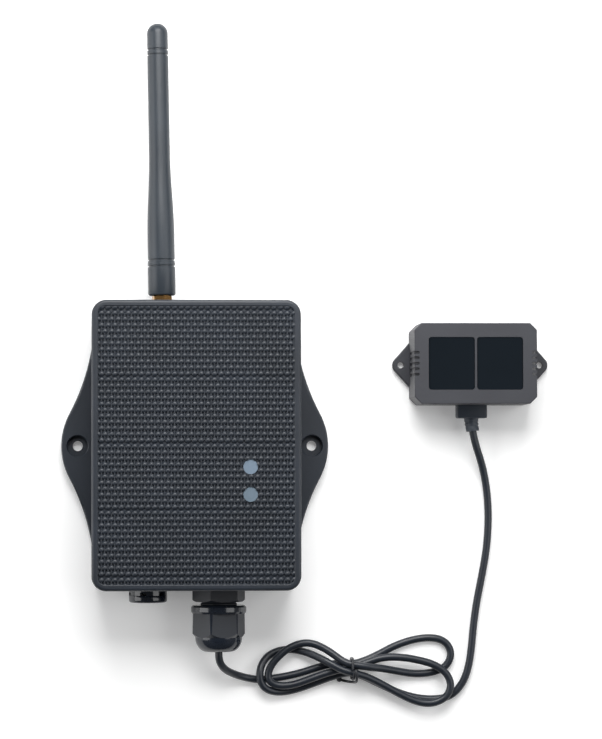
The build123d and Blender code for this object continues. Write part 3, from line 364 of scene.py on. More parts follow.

# %% [markdown]
# The light window and the button are frosted polycarbonate: pale grey-blue and half matt, with a
# fine frost in the tone. The button has a shallow ring moulded in it, whose groove lies in slight
# shade. So thin a ring would cost many faces, so it is left out and its shade is painted into the
# colour as a slightly darker circle.

# %% Frosted dots
DOT_X = 23.2
LIGHT_Y, BUTTON_Y = -9.35, -21.2
# the ring's radius, and where its line ends and where its soft edge ends
RING_R = 1.75
RING_LINE, RING_EDGE = 0.1, 0.35
# how strongly the painted shade of the ring darkens the tone
RING_SHADE = 0.35
FROST_SIZE = 0.35


def frosted(name, shade, tint, centre=None):
    """Frosted polycarbonate, with the painted shade of a moulded ring round a centre if one is given."""
    material, tree, shader = new_finish(name, IOR=1.58)
    where = add(tree, "ShaderNodeTexCoord").outputs["Object"]
    frost = add(tree, "ShaderNodeTexNoise", {
        "Vector": where, "Scale": per(FROST_SIZE), "Detail": 4.0,
    })
    tone = add(tree, "ShaderNodeMix", {
        "Factor": frost.outputs["Fac"], "A": linear(shade), "B": linear(tint),
    }, data_type="RGBA").outputs["Result"]
    if centre:
        # the distance from the button's axis, in metres, picks out the ring
        offset = add(tree, "ShaderNodeVectorMath", {
            0: where, 1: (centre[0] * MM, centre[1] * MM, 0.0),
        }, operation="SUBTRACT")
        flat = add(tree, "ShaderNodeVectorMath", {
            0: offset.outputs["Vector"], 1: (1.0, 1.0, 0.0),
        }, operation="MULTIPLY")
        radius = add(tree, "ShaderNodeVectorMath", {0: flat.outputs["Vector"]}, operation="LENGTH")
        off_ring = add(tree, "ShaderNodeMath", {
            0: radius.outputs["Value"], 1: RING_R * MM,
        }, operation="SUBTRACT")
        away = add(tree, "ShaderNodeMath", {0: off_ring.outputs["Value"]}, operation="ABSOLUTE")
        ring = add(tree, "ShaderNodeMapRange", {
            "Value": away.outputs["Value"], "From Min": RING_LINE * MM, "From Max": RING_EDGE * MM,
            "To Min": RING_SHADE, "To Max": 0.0,
        })
        # painted shade: the ring's groove is drawn as a darker blue-grey instead of being modelled
        tone = add(tree, "ShaderNodeMix", {
            "Factor": ring.outputs["Result"], "A": tone, "B": linear("#56646F"),
        }, data_type="RGBA").outputs["Result"]
    gloss = add(tree, "ShaderNodeMapRange", {
        "Value": frost.outputs["Fac"], "To Min": 0.42, "To Max": 0.55,
    })
    tree.links.new(tone, shader.inputs["Base Color"])
    tree.links.new(gloss.outputs["Result"], shader.inputs["Roughness"])
    return material


dot_plain = frosted("frosted_polycarbonate", "#617184", "#6B7C8A")
dot_ringed = frosted("frosted_polycarbonate_button", "#586875", "#62727F", (DOT_X, BUTTON_Y))
print("frosted:", dot_plain.name, "and", dot_ringed.name)

# %% [markdown]
# The two windows of the head are acrylic dyed to pass only infrared light. To the eye they are
# near-black sheets with a polished face, so their colour hardly matters and their gloss does. The
# lenses behind them are coated glass. Both change slowly in tone and gloss, so one function makes
# them.

# %% Windows and lenses
def polished_sheet(name, deep, pale, patch, rough, **constants):
    """Polished optical plastic or glass, with slow changes of tone and gloss."""
    material, tree, shader = new_finish(name, **constants)
    where = add(tree, "ShaderNodeTexCoord").outputs["Object"]
    drift = add(tree, "ShaderNodeTexNoise", {"Vector": where, "Scale": per(patch), "Detail": 2.0})
    tone = add(tree, "ShaderNodeMix", {
        "Factor": drift.outputs["Fac"], "A": linear(deep), "B": linear(pale),
    }, data_type="RGBA")
    gloss = add(tree, "ShaderNodeMapRange", {
        "Value": drift.outputs["Fac"], "To Min": rough[0], "To Max": rough[1],
    })
    tree.links.new(tone.outputs["Result"], shader.inputs["Base Color"])
    tree.links.new(gloss.outputs["Result"], shader.inputs["Roughness"])
    return material


# Dyed acrylic of the windows: near black, a clear gloss
filter_window = polished_sheet("filter_acrylic", "#1F2830", "#232C35", 18, (0.1, 0.2), IOR=1.49)
# Coated glass of the lenses: clear, with a faint blue and violet sheen
lens_glass = polished_sheet(
    "lens_glass", "#D8DEEA", "#E6E2F0", 6, (0.02, 0.06), IOR=1.52, Transmission_Weight=0.9,
)
print("optical sheets:", filter_window.name, "and", lens_glass.name)

# %% [markdown]
# The metals are turned, stamped or drawn, and most are plated. The tool leaves fine marks and the
# plating small changes of gloss, so a metal's roughness carries most of its pattern.

# %% Plated metals
TOOL_MARK = 0.01


def plated(name, deep, pale, grain, rough):
    """Worked metal with a fine tool pattern in its gloss."""
    material, tree, shader = new_finish(name, Metallic=1.0)
    where = add(tree, "ShaderNodeTexCoord").outputs["Object"]
    tool = add(tree, "ShaderNodeTexNoise", {"Vector": where, "Scale": per(grain), "Detail": 6.0})
    tone = add(tree, "ShaderNodeMix", {
        "Factor": tool.outputs["Fac"], "A": linear(deep), "B": linear(pale),
    }, data_type="RGBA")
    gloss = add(tree, "ShaderNodeMapRange", {
        "Value": tool.outputs["Fac"], "From Min": 0.3, "From Max": 0.7,
        "To Min": rough[0], "To Max": rough[1],
    })
    bump = add(tree, "ShaderNodeBump", {
        "Height": tool.outputs["Fac"], "Strength": 0.4, "Distance": TOOL_MARK * MM,
    })
    tree.links.new(tone.outputs["Result"], shader.inputs["Base Color"])
    tree.links.new(gloss.outputs["Result"], shader.inputs["Roughness"])
    tree.links.new(bump.outputs["Normal"], shader.inputs["Normal"])
    return material


# Gold flash over turned brass: warm, and brown where it mirrors the dark case
gilt_brass = plated("gilt_brass", "#8F6A3E", "#B48C58", 0.4, (0.16, 0.26))
# Zinc-plated steel of the screws: pale, slightly blue
zinc_steel = plated("zinc_steel", "#B9BBBD", "#D2D4D6", 0.5, (0.28, 0.42))
# Drawn copper of the antenna's element
copper = plated("copper", "#B87350", "#D08A66", 0.5, (0.25, 0.4))
# Tinned steel of the cans on the boards
shield_can = plated("shield_can", "#C4C4C0", "#DADAD6", 0.9, (0.25, 0.4))
print("metals:", gilt_brass.name, zinc_steel.name, copper.name, shield_can.name)

# %% [markdown]
# The boards are glass cloth in epoxy under green lacquer. The cloth's threads are about 0.45 mm
# apart and show faintly through the lacquer as a square weave.

# %% Board laminate
CLOTH_PITCH = 0.45
board_laminate, tree, shader = new_finish("board_laminate", IOR=1.55, Roughness=0.35)
where = add(tree, "ShaderNodeTexCoord").outputs["Object"]
threads = add(tree, "ShaderNodeTexBrick", {
    "Vector": where, "Color1": linear("#0E4A24"), "Color2": linear("#115229"),
    "Mortar": linear("#0B3F1E"), "Scale": per(CLOTH_PITCH), "Mortar Size": 0.06,
    "Brick Width": 1.0, "Row Height": 1.0,
}, offset=0.0)
tree.links.new(threads.outputs["Color"], shader.inputs["Base Color"])
print(len(bpy.data.materials), "finishes in all")

# %% [markdown]
# Each CAD node names the slot of its finish in the record. So the nodes are dressed by one loop
# over the record. The button has the ringed finish, and the cord is a curve of this file.

# %% Dress the CAD nodes
finish_of_slot = {
    "case_abs": case_abs, "seal_rubber": seal_rubber, "zinc_steel": zinc_steel,
    "gilt_brass": gilt_brass, "copper": copper, "antenna_rubber": antenna_rubber,
    "gland_nylon": gland_nylon, "membrane": membrane, "dot_plastic": dot_plain,
    "switch_body": switch_body, "led_body": led_body, "board_laminate": board_laminate,
    "shield_can": shield_can, "cell_wrap": cell_wrap, "wire_cover": wire_cover,
    "head_abs": head_abs, "filter_window": filter_window, "lens_glass": lens_glass,
    "cord_pvc": cord_pvc, "tie_pvc": tie_pvc,
}
for part in frame["record"]["subparts"]:
    for slot in nodes[part["node"]].material_slots:
        slot.material = finish_of_slot[part["material_slot"]]
for slot in nodes["act_button"].material_slots:
    slot.material = dot_ringed
cord.data.materials.append(cord_pvc)

# %% [markdown]
# ## From a bmesh to a piece
# Each new piece is modelled in millimetres about its own axis, and then moved to its place in one
# step: that keeps its numbers readable. Its object stays at the origin, so a pattern on object
# coordinates runs through neighbouring pieces in the same direction and size. The operators take
# lists of vertices, edges and faces, and two short functions write those lists once.

# %% Piece helper
def piece(name, bm, material, body="sensor", place=Matrix(), sharp=30, stands_for=()):
    """Places a bmesh in the model, gives it its finish and lets it ride on its body."""
    bmesh.ops.transform(bm, matrix=Matrix.Scale(MM, 4) @ place, verts=bm.verts)
    bmesh.ops.recalc_face_normals(bm, faces=bm.faces)
    mesh = bpy.data.meshes.new(name)
    bm.to_mesh(mesh)
    bm.free()
    mesh.materials.append(material)
    mesh.shade_smooth()
    mesh.set_sharp_from_angle(angle=radians(sharp))
    made = bpy.data.objects.new(name, mesh)
    bpy.context.scene.collection.objects.link(made)
    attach(made, body)
    if stands_for:
        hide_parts(*stands_for)
    print(name, len(mesh.polygons), "faces")
    return made


def whole(bm):
    """All that a bmesh holds, as the operators take it."""
    return bm.verts[:] + bm.edges[:] + bm.faces[:]


def fresh_points(made):
    """The vertices among what an operator made."""
    return [g for g in made["geom"] if isinstance(g, bmesh.types.BMVert)]


def join(bm, other):
    """Adds another bmesh to this one."""
    mesh = bpy.data.meshes.new("joined")
    other.to_mesh(mesh)
    other.free()
    bm.from_mesh(mesh)
    bpy.data.meshes.remove(mesh)


print("pieces are drawn at", 1 / MM, "units to the metre")

# %% [markdown]
# ## The woven relief
# The cover's sunken panel is moulded like coarse cloth: rows of slanting oval beads, each row half
# a step beside the last. A bump map would look flat from the side, so the beads are real. One bead
# is the top of a squashed sphere. It is copied into a row pair, and then the row is doubled again
# and again, which takes far fewer steps than placing each bead. The pattern repeats after an odd
# number of rows, which leaves the faint bands that cross the real panel. Thin straight ribs run
# under the beads like the warp of a cloth, and stop at each band. What runs past the panel's edge
# is cut off with planes, and what lies under the two dots is taken out.

# %% Woven relief
PANEL_Z = 38.0
PANEL_HALF = (42.15, 59.65)
BEAD_PITCH = 2.85
ROW_PITCH = 2.6
TILE_ROWS = 11
TILE_TOP = 29.4
BEAD_HALF = (1.5, 1.3, 0.95)
BEAD_SLANT = 20
RIB_HALF = (0.3, 0.72)
RIB_ROUND = 0.24
DOTS = ((DOT_X, LIGHT_Y), (DOT_X, BUTTON_Y))
DOT_CLEAR = 3.35


def doubled(bm, step, times):
    """Copies all of a bmesh beside itself, times over: once gives two, twice gives four."""
    for turn in range(times):
        made = bmesh.ops.duplicate(bm, geom=whole(bm))
        bmesh.ops.translate(bm, vec=Vector(step) * 2 ** turn, verts=fresh_points(made))


bm = bmesh.new()
bmesh.ops.create_uvsphere(bm, u_segments=12, v_segments=6, radius=1.0)
# the wide distance takes the ring of points on the plane as it is, and cuts no slivers beside it
bmesh.ops.bisect_plane(
    bm, geom=whole(bm), dist=1e-3, plane_co=(0, 0, 0), plane_no=(0, 0, -1), clear_outer=True,
)
bmesh.ops.scale(bm, vec=BEAD_HALF, verts=bm.verts)
slant = Matrix.Rotation(radians(BEAD_SLANT), 3, "Z")
bmesh.ops.rotate(bm, cent=(0, 0, 0), matrix=slant, verts=bm.verts)
# the second row of the pair stands half a step aside
doubled(bm, (BEAD_PITCH / 2, -ROW_PITCH, 0), 1)
doubled(bm, (BEAD_PITCH, 0, 0), 5)
doubled(bm, (0, -2 * ROW_PITCH, 0), 3)
# the tile ends after an odd number of rows, and the tiles follow each other
spare = [v for v in bm.verts if v.co.y < (0.5 - TILE_ROWS) * ROW_PITCH]
bmesh.ops.delete(bm, geom=spare, context="VERTS")
print("tile of", len(bm.faces), "faces")

# %% [markdown]
# A rib is as long as a tile of beads. It could be swept along a line, but a narrow box has the same
# form and few faces. The tile of beads and ribs is doubled three times, and then cut to the panel.

# %% Ribs and the cut to the panel
# a rib is a narrow box whose top edges are bevelled; there are two to each bead
ribs = bmesh.new()
tile_length = (TILE_ROWS - 1) * ROW_PITCH
bmesh.ops.create_cube(ribs, size=2.0)
bmesh.ops.scale(ribs, vec=(RIB_HALF[0], tile_length / 2, RIB_HALF[1]), verts=ribs.verts)
bmesh.ops.translate(ribs, vec=(0, -tile_length / 2, 0), verts=ribs.verts)
long_edges = [
    e for e in ribs.edges
    if all(v.co.z > 0 for v in e.verts) and e.calc_length() > tile_length / 2
]
bmesh.ops.bevel(
    ribs, geom=long_edges, offset=RIB_ROUND, segments=2, profile=0.5, affect="EDGES", material=-1,
)
doubled(ribs, (BEAD_PITCH / 2, 0, 0), 6)
join(bm, ribs)
doubled(bm, (0, -TILE_ROWS * ROW_PITCH, 0), 3)
start = (-PANEL_HALF[0] - BEAD_PITCH / 2, TILE_TOP + (2 * TILE_ROWS - 0.5) * ROW_PITCH, PANEL_Z)
bmesh.ops.translate(bm, vec=start, verts=bm.verts)
for way, reach in (((1, 0, 0), 0), ((-1, 0, 0), 0), ((0, 1, 0), 1), ((0, -1, 0), 1)):
    bmesh.ops.bisect_plane(
        bm, geom=whole(bm), plane_co=Vector(way) * PANEL_HALF[reach], plane_no=way, clear_outer=True,
    )
# the ribs are cut beside each dot first, so that a rib loses only the stretch under it
for y in [dot[1] + way * DOT_CLEAR for dot in DOTS for way in (1, -1)]:
    bmesh.ops.bisect_plane(bm, geom=whole(bm), plane_co=(0, y, 0), plane_no=(0, 1, 0))
under_dots = [
    f for f in bm.faces
    if any((f.calc_center_median().xy - Vector(dot)).length < DOT_CLEAR for dot in DOTS)
]
bmesh.ops.delete(bm, geom=under_dots, context="FACES")
piece("cover_relief", bm, case_abs, sharp=80)

# %% [markdown]
# ## Turned and milled pieces
# The gland, the vent, the antenna's nut and its sleeve are all round about one axis. The quick way
# would be stacked cylinders, but then nothing runs from one step into the next. Here half of each
# section is drawn once, with its edges broken as a turner would break them, and is then spun. A
# hexagon is milled on a spun blank, so its corners keep the round of the blank. Each piece stands
# in a port of the box's end walls.

# %% Helpers for turned pieces
WALL_Y, PORT_Z = 61.7, 14.5


def bottom_port(x):
    """The frame of a port in the bottom wall: zero at the wall, Z outwards."""
    return Matrix.Translation(Vector((x, -WALL_Y, PORT_Z))) @ Matrix.Rotation(radians(90), 4, "X")


def top_port(x):
    """The frame of a port in the top wall: zero at the wall, Z outwards."""
    return Matrix.Translation(Vector((x, WALL_Y, PORT_Z))) @ Matrix.Rotation(radians(-90), 4, "X")


def thread(start, end, radius, pitch=1.5, depth=0.75):
    """The outline of a screw thread, drawn as rings a pitch apart."""
    count = int((end - start) / pitch)
    step = (end - start) / count
    outline = []
    for turn in range(count):
        low = start + turn * step
        outline += [
            (radius - depth, low + 0.1 * step), (radius, low + 0.5 * step), (radius, low + 0.62 * step),
        ]
    return outline


def blank(profile, steps=96):
    """A new bmesh: a closed profile of (radius, height) points, spun once round the Z axis."""
    bm = bmesh.new()
    start = [bm.verts.new((radius, 0, height)) for radius, height in profile]
    rim = [bm.edges.new((a, b)) for a, b in zip(start, start[1:] + start[:1])]
    bmesh.ops.spin(
        bm, geom=start + rim, cent=(0, 0, 0), axis=(0, 0, 1), angle=2 * pi, steps=steps, use_merge=True,
    )
    return bm


def cut_flats(bm, across, angles):
    """Mills flats round the Z axis, and closes each with one face."""
    for angle in angles:
        way = Vector((cos(radians(angle)), sin(radians(angle)), 0))
        cut = bmesh.ops.bisect_plane(
            bm, geom=whole(bm), dist=1e-5, plane_co=way * across / 2, plane_no=way, clear_outer=True,
        )
        edges = [g for g in cut["geom_cut"] if isinstance(g, bmesh.types.BMEdge)]
        bmesh.ops.edgeloop_fill(bm, edges=edges)


print("ports at", WALL_Y, "mm from the middle and", PORT_Z, "mm up")

# %% [markdown]
# ## The cord gland
# A moulded nylon gland has a hexagon that is held by a spanner while its domed nut is turned. A
# short stretch of thread shows between them. The nut's rim and dome are polished and mirror the
# soft boxes, and its six flats are satin.

# %% Gland body
GLAND_X = 10.1
GLAND_ACROSS = 20.6
GLAND_THREAD_R = 8.0
GLAND_FLATS = [17.9 + 60 * k for k in range(6)]
BODY_START, BODY_END = -12.0, 16.3
HEX_FOOT, HEX_TOP, HEX_R = 0.8, 6.3, 11.75
# the cord's way through the body, and the wider seat of the claw and its seal
WAY_R, SEAT_R, SEAT_FLOOR = 4.6, 6.4, 7.8
# a flat meets the round of its corner at 28 degrees, which has to stay a sharp line
CRISP = 20

bm = blank(
    [(WAY_R, BODY_START), (GLAND_THREAD_R - 0.5, BODY_START)]
    + thread(BODY_START + 0.5, 0.0, GLAND_THREAD_R)
    + [(7.2, HEX_FOOT), (11.0, HEX_FOOT), (HEX_R, 1.3), (HEX_R, 5.5), (10.4, HEX_TOP), (7.4, HEX_TOP)]
    + thread(6.4, 16.0, GLAND_THREAD_R)
    + [(7.6, BODY_END), (SEAT_R, BODY_END), (SEAT_R, SEAT_FLOOR), (WAY_R, SEAT_FLOOR)]
)
cut_flats(bm, GLAND_ACROSS, GLAND_FLATS)
piece("gland_fitting", bm, gland_nylon, place=bottom_port(GLAND_X), sharp=CRISP,
      stands_for=["gland_body"])

# %% [markdown]
# The domed nut has a round rim, six flats and a dome. A cut through an open shell would tear its
# edges, so the rim and the shank with its flats are two closed blanks. The nut carries two finishes:
# its flats are the only large single faces, so they are found by their area.

# %% Gland nut
DOME_FOOT, DOME_TIP = 21.7, 28.1
DOME_R, TOP_R, MOUTH_R = 10.3, 5.4, 3.6
dome = [
    (TOP_R + (DOME_R - TOP_R) * cos(turn), DOME_FOOT + (DOME_TIP - DOME_FOOT) * sin(turn))
    for turn in [radians(7.5 * k) for k in range(13)]
]
RIM_START, RIM_END, RIM_R = 7.8, 11.3, 12.1
SHANK_R, BORE_R = 11.72, 8.15
NUT_STEPS = 120
# 60 square millimetres, in square metres
FLAT_AREA = 60e-6
bm = blank([
    (BORE_R, RIM_START), (11.3, RIM_START), (RIM_R, 8.6), (RIM_R, 10.5),
    (SHANK_R, RIM_END), (BORE_R, RIM_END),
], NUT_STEPS)
# the flats stop at the rim, so the shank is a blank of its own that starts just inside the rim
shank = blank(
    [(BORE_R, RIM_END - 0.2), (SHANK_R - 0.2, RIM_END - 0.2), (SHANK_R, 20.1)]
    + dome
    + [(MOUTH_R + 0.5, DOME_TIP), (MOUTH_R, DOME_TIP - 0.5), (MOUTH_R, 26.2), (BORE_R, 17.3)],
    NUT_STEPS,
)
cut_flats(shank, GLAND_ACROSS, GLAND_FLATS)
join(bm, shank)
nut = piece("gland_cap", bm, polished_nylon, body="gland_nut",
            place=bottom_port(GLAND_X), sharp=CRISP, stands_for=["gland_nut"])
nut.data.materials.append(gland_nylon)
flats = [face for face in nut.data.polygons if face.area > FLAT_AREA]
for face in flats:
    face.material_index = 1
    face.use_smooth = False
print("flats", len(flats))

# %% [markdown]
# ## The vent
# The vent is a small polished plug. A membrane under its cap lets air through and keeps water out,
# and the air reaches it through slots round the plug's end. The slots are made by leaving gaps
# between short arcs, which are spun part of a turn and closed at their ends.

# %% Vent base
VENT_X = -20.7
VENT_R = 8.3
SLOTS = 6
SLOT_ANGLE = 19.0
FIRST_ARC = 55
SLOT_ROOT_R, SLOT_FLOOR, SLOT_TOP = 5.8, 2.1, 3.4
PLUG_BORE_R, PLUG_TOP = 3.0, 2.6


def arcs(bm, section, count, gap, first):
    """Spins a closed section into arcs with equal gaps between them."""
    for step in range(count):
        turn = Matrix.Rotation(radians(first + step * 360 / count), 4, "Z")
        face = bm.faces.new([bm.verts.new(turn @ Vector((r, 0, z))) for r, z in section])
        bmesh.ops.spin(
            bm, geom=[face], cent=(0, 0, 0), axis=(0, 0, 1), steps=12,
            angle=radians(360 / count - gap), use_merge=False, use_duplicate=False,
        )


bm = blank(
    [(PLUG_BORE_R, -7.5), (5.4, -7.5)]
    + thread(-7.0, 0.0, 6.0, pitch=1.25, depth=0.6)
    + [(5.6, 0.0), (VENT_R - 0.3, 0.0), (VENT_R, 0.3), (VENT_R, SLOT_FLOOR),
       (SLOT_ROOT_R, SLOT_FLOOR), (SLOT_ROOT_R, PLUG_TOP), (PLUG_BORE_R, PLUG_TOP)]
)
wall_section = [
    (SLOT_ROOT_R, SLOT_FLOOR), (VENT_R, SLOT_FLOOR), (VENT_R, SLOT_TOP), (SLOT_ROOT_R, SLOT_TOP),
]
arcs(bm, wall_section, SLOTS, SLOT_ANGLE, FIRST_ARC)
piece("vent_base", bm, polished_nylon, place=bottom_port(VENT_X),
      stands_for=["vent_plug"])

# %% [markdown]
# The cap is a disc with a well rounded outer edge. A bevel on a ring of edges gives that round in
# one step, and it can be made larger or smaller without drawing the section again.

# %% Vent cap
CAP_HEIGHT = 3.2
CAP_ROUND, CAP_BREAK = 1.1, 0.2


def round_ring(bm, height, size, segments):
    """Rounds the ring of edges at one height along the Z axis."""
    ring = [e for e in bm.edges if all(abs(v.co.z - height) < 1e-4 for v in e.verts)]
    bmesh.ops.bevel(
        bm, geom=ring, offset=size, segments=segments, profile=0.5, affect="EDGES", material=-1,
    )


bm = bmesh.new()
bmesh.ops.create_circle(bm, cap_ends=True, segments=96, radius=VENT_R)
bmesh.ops.translate(bm, vec=(0, 0, SLOT_TOP), verts=bm.verts)
top = bmesh.ops.extrude_face_region(bm, geom=bm.faces[:])
bmesh.ops.translate(bm, vec=(0, 0, CAP_HEIGHT), verts=fresh_points(top))
round_ring(bm, SLOT_TOP + CAP_HEIGHT, CAP_ROUND, 6)
round_ring(bm, SLOT_TOP, CAP_BREAK, 2)
piece("vent_dome", bm, polished_nylon, place=bottom_port(VENT_X),
      stands_for=["vent_cap"])

# %% [markdown]
# ## The antenna
# The whip is a rubber sleeve over its spring and coupling, with pairs of grooves near its foot and
# its tip. Its waist narrows in one smooth curve, so the section follows a formula that starts and
# ends level. The whip leans one degree in its thread, and turns with its own body.

# %% Antenna whip
ANTENNA_X = -14.6
ANTENNA_RIM = 3.9
LEAN_PIVOT = 6.65
BASE_R, COLLAR_R, SHAFT_R = 6.0, 5.88, 4.6
FOOT_TOP, COLLAR_TOP, WAIST_TOP, TIP = 14.2, 27.0, 62.0, 119.6
GROOVES = ((12.8, BASE_R), (15.5, COLLAR_R), (105.6, SHAFT_R), (107.9, SHAFT_R))
GROOVE_HALF, GROOVE_DEPTH, GROOVE_BREAK = 0.35, 0.45, 0.12
# the inside, from the tip down: the element, the spring with its coupling, and room for the nut
ELEMENT_R, ELEMENT_TOP = 1.05, 110.4
COUPLING_R, COUPLING_TOP = 2.45, 41.0
FOOT_BORE_R, FOOT_BORE_TOP = 4.65, 9.0
POLE_R = 0.02
LEAN = 1.0


def groove(height, radius):
    """The outline of one groove: straight walls with broken edges."""
    root = radius - GROOVE_DEPTH
    return [
        (radius, height - GROOVE_HALF - GROOVE_BREAK), (radius - GROOVE_BREAK, height - GROOVE_HALF),
        (root, height - GROOVE_HALF), (root, height + GROOVE_HALF),
        (radius - GROOVE_BREAK, height + GROOVE_HALF), (radius, height + GROOVE_HALF + GROOVE_BREAK),
    ]


def waist(share):
    """The radius along the waist, level at both of its ends."""
    return COLLAR_R + (SHAFT_R - COLLAR_R) * share * share * (3 - 2 * share)


WAIST_STEPS, TIP_STEPS = 14, 12
outline = [(FOOT_BORE_R, 0.0), (BASE_R - 0.75, 0.0), (BASE_R - 0.2, 0.3), (BASE_R, 0.9)]
outline += groove(*GROOVES[0]) + [(BASE_R, FOOT_TOP), (COLLAR_R, FOOT_TOP + 0.1)]
outline += groove(*GROOVES[1])
outline += [
    (waist(k / WAIST_STEPS), COLLAR_TOP + (WAIST_TOP - COLLAR_TOP) * k / WAIST_STEPS)
    for k in range(WAIST_STEPS + 1)
]
outline += groove(*GROOVES[2]) + groove(*GROOVES[3])
outline += [
    (max(SHAFT_R * cos(turn), POLE_R), TIP - SHAFT_R + SHAFT_R * sin(turn))
    for turn in [radians(90 * k / TIP_STEPS) for k in range(TIP_STEPS + 1)]
]
outline += [
    (POLE_R, ELEMENT_TOP), (ELEMENT_R, ELEMENT_TOP), (ELEMENT_R, COUPLING_TOP),
    (COUPLING_R, COUPLING_TOP), (COUPLING_R, FOOT_BORE_TOP), (FOOT_BORE_R, FOOT_BORE_TOP),
]
lean = (
    Matrix.Translation(Vector((ANTENNA_X, WALL_Y + LEAN_PIVOT, PORT_Z)))
    @ Matrix.Rotation(radians(LEAN), 4, "Z") @ Matrix.Rotation(radians(-90), 4, "X")
    @ Matrix.Translation(Vector((0, 0, ANTENNA_RIM - LEAN_PIVOT)))
)
bm = blank(outline, steps=72)
bmesh.ops.remove_doubles(bm, verts=bm.verts, dist=3 * POLE_R)
# the wall between the two poles has closed to one loose edge
bmesh.ops.delete(bm, geom=[e for e in bm.edges if e.is_wire], context="EDGES")
piece("antenna_whip", bm, antenna_rubber, body="antenna", place=lean,
      stands_for=["antenna_sleeve"])

# %% [markdown]
# The nut under the whip is gilt brass with both ends chamfered. It is a spun blank with six flats,
# made like the gland's hexagon.

# %% Antenna nut
NUT_FOOT, NUT_TOP = 0.6, 3.7
NUT_BORE_R, NUT_R, NUT_FACE_R = 3.2, 4.55, 4.0
NUT_ACROSS, NUT_TURN = 8.0, 12
bm = blank([
    (NUT_BORE_R, NUT_FOOT), (NUT_FACE_R, NUT_FOOT), (NUT_R, NUT_FOOT + 0.3), (NUT_R, NUT_TOP - 0.3),
    (NUT_FACE_R, NUT_TOP), (3.5, NUT_TOP), (NUT_BORE_R, NUT_TOP - 0.3),
])
cut_flats(bm, NUT_ACROSS, [NUT_TURN + 60 * k for k in range(6)])
piece("antenna_nut", bm, gilt_brass, place=top_port(ANTENNA_X), sharp=CRISP,
      stands_for=["sma_nut"])

# %% [markdown]
# ## The boot on the head
# Soft PVC is moulded round the end of the cord: a block against the head, then a neck that bends
# a little with the cord. The block starts as a cube whose edges are bevelled, apart from those
# against the head. The neck is spun, with shallow ribs and a lip, and its points are then turned
# about its root, more the further out they lie. That bends it evenly, where turning the whole neck
# would leave a gap.

# %% Boot
BOOT_WIDTH, BOOT_LENGTH, BOOT_HEIGHT = 13.2, 5.8, 9.0
HEAD_X, HEAD_FRONT_Y, BOOT_Z = 122.0, 17.8, 6.5
NECK_ROOT_R, NECK_LIP_R = 3.1, 2.9
NECK_END = 5.8
NECK_BEND = 7.0
BOOT_ROUND = 0.7


def block(bm, size, middle):
    """Adds a box of a size about a middle."""
    made = bmesh.ops.create_cube(bm, size=1.0)
    bmesh.ops.scale(bm, vec=size, verts=made["verts"])
    bmesh.ops.translate(bm, vec=middle, verts=made["verts"])


bm = bmesh.new()
block(bm, (BOOT_WIDTH, BOOT_HEIGHT, BOOT_LENGTH), (0, 0, BOOT_LENGTH / 2))
front = [
    e for e in bm.edges
    if min(v.co.z for v in e.verts) > 0.1 or abs(e.verts[0].co.z - e.verts[1].co.z) > 1
]
bmesh.ops.bevel(
    bm, geom=front, offset=BOOT_ROUND, segments=4, profile=0.5, affect="EDGES", material=-1,
)
# the throat through the head's wall and the flange behind it, which hold the boot
block(bm, (9.0, 7.0, 2.1), (0, 0, -1.0))
block(bm, (12.0, 7.0, 1.8), (0, 0, -2.9))
neck = blank([
    (0.6, -0.5), (NECK_ROOT_R + 0.4, -0.5), (NECK_ROOT_R + 0.1, 0.3), (NECK_ROOT_R, 0.8),
    (NECK_ROOT_R, 1.5), (NECK_ROOT_R - 0.25, 1.7), (NECK_ROOT_R - 0.25, 2.1),
    (NECK_ROOT_R - 0.05, 2.3), (NECK_ROOT_R - 0.05, 3.0), (NECK_ROOT_R - 0.3, 3.2),
    (NECK_ROOT_R - 0.3, 3.6),
    (NECK_LIP_R, 3.8), (NECK_LIP_R, NECK_END - 0.3),
    (NECK_LIP_R - 0.3, NECK_END), (1.75, NECK_END), (1.6, NECK_END - 0.4), (0.6, NECK_END - 0.5),
], steps=64)
for vert in neck.verts:
    share = min(max(vert.co.z / NECK_END, 0), 1)
    vert.co = Matrix.Rotation(radians(NECK_BEND * share), 3, "Y") @ vert.co
    vert.co.z += BOOT_LENGTH
join(bm, neck)
at_head = Matrix.Translation(Vector((HEAD_X, HEAD_FRONT_Y, BOOT_Z)))
boot_place = at_head @ Matrix.Rotation(radians(90), 4, "X")
boot = piece("cord_boot", bm, boot_pvc, place=boot_place, stands_for=["head_boot"])

# %% [markdown]
# ## The tie
# A soft round tie runs once round the waist of the hank, back over itself, and down to a knot on
# the table. A ring from a spin would be too even, so this is a smooth curve along listed points,
# turned into a mesh. The knot is a squashed sphere on its end.

# %% Tie
TIE_D = 1.2
KNOT_R, KNOT_PLACE = 1.2, (63.6, -102.9, 1.2)
KNOT_SQUASH = (1.0, 1.15, 0.9)
round_waist = [
    (68.9, -98.0, 11.7), (69.0, -94.1, 11.8), (69.1, -93.6, 8.4), (69.1, -93.7, 4.5),
    (69.0, -93.6, 0.8), (69.0, -95.2, 0.6), (69.1, -98.4, 0.6), (69.0, -101.4, 0.6),
    (69.0, -102.5, 0.9), (69.1, -102.4, 4.5), (69.2, -102.6, 8.4), (69.3, -102.2, 11.6),
    (69.9, -98.2, 12.6), (70.5, -99.6, 13.2), (70.6, -103.4, 12.0), (70.2, -104.0, 7.0),
    (69.4, -104.1, 3.5), (67.8, -104.1, 1.6), (65.8, -103.7, 1.0), (64.2, -103.2, 1.1),
    (63.6, -102.7, 1.3),
]
line = cord_curve("tie_line", round_waist, TIE_D * MM)
tie_mesh = bpy.data.meshes.new_from_object(line)
bpy.data.objects.remove(line)
bm = bmesh.new()
bm.from_mesh(tie_mesh)
bmesh.ops.scale(bm, vec=Vector((1, 1, 1)) / MM, verts=bm.verts)
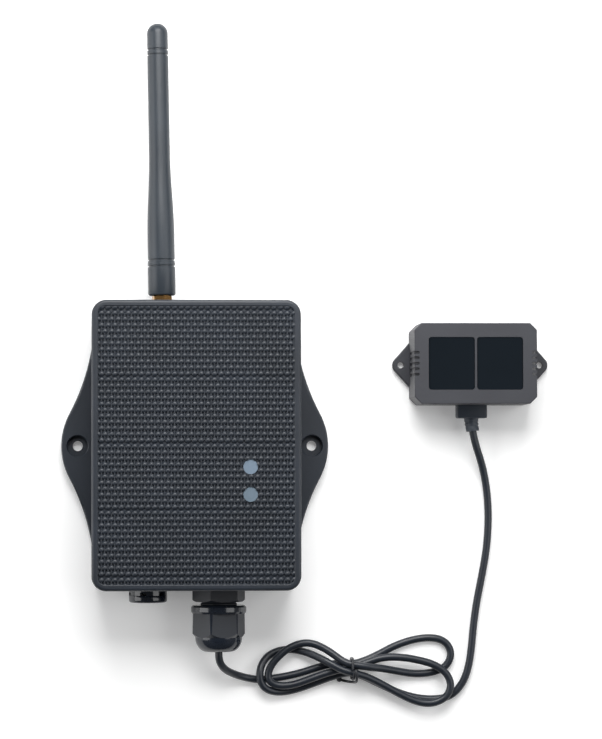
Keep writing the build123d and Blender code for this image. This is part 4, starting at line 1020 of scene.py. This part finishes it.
bmesh.ops.remove_doubles(bm, verts=bm.verts, dist=1e-3)
bmesh.ops.holes_fill(bm, edges=[e for e in bm.edges if e.is_boundary], sides=0)
knot = bmesh.new()
bmesh.ops.create_icosphere(knot, subdivisions=3, radius=KNOT_R)
bmesh.ops.scale(knot, vec=KNOT_SQUASH, verts=knot.verts)
bmesh.ops.translate(knot, vec=KNOT_PLACE, verts=knot.verts)
join(bm, knot)
tie = piece("cord_tie", bm, tie_pvc, stands_for=["hank_tie"])

# %% [markdown]
# ## The grips of the head
# The front shell has five finger grips at each end. In the solids they are plain slots down to the
# seam. The real ones have a floor that slopes out from the face and then runs shallow down the
# wall. So each slot gets a filler, which is a block cut by a leaning plane, and one side is mirrored.

# %% Grips
HEAD_HALF, HEAD_Y = 27.0, 35.6
HEAD_TOP, HEAD_SPLIT = 26.0, 7.0
GRIPS = 5
GRIP_PITCH, GRIP_WIDTH, GRIP_DEPTH = 2.4, 1.3, 1.8
# how far the floor lies inside the wall, how far it starts below the face, and how steeply it falls
GRIP_SHALLOW, GRIP_START, GRIP_SLOPE = 0.45, 0.4, 1.6
bm = bmesh.new()
inner = HEAD_HALF - GRIP_DEPTH - GRIP_WIDTH / 2
outer = HEAD_HALF - GRIP_SHALLOW
for step in range(GRIPS):
    grip = bmesh.new()
    block(grip, (outer - inner, GRIP_WIDTH, HEAD_TOP - HEAD_SPLIT),
          ((inner + outer) / 2, (step - (GRIPS - 1) / 2) * GRIP_PITCH, (HEAD_TOP + HEAD_SPLIT) / 2))
    bmesh.ops.bisect_plane(
        grip, geom=whole(grip), plane_co=(inner, 0, HEAD_TOP - GRIP_START), plane_no=(GRIP_SLOPE, 0, 1),
        clear_outer=True,
    )
    bmesh.ops.holes_fill(grip, edges=[e for e in grip.edges if e.is_boundary], sides=0)
    join(bm, grip)
bmesh.ops.mirror(bm, geom=whole(bm), axis="X", merge_dist=1e-4)
piece("head_grips", bm, head_abs, place=Matrix.Translation(Vector((HEAD_X, HEAD_Y, 0))))
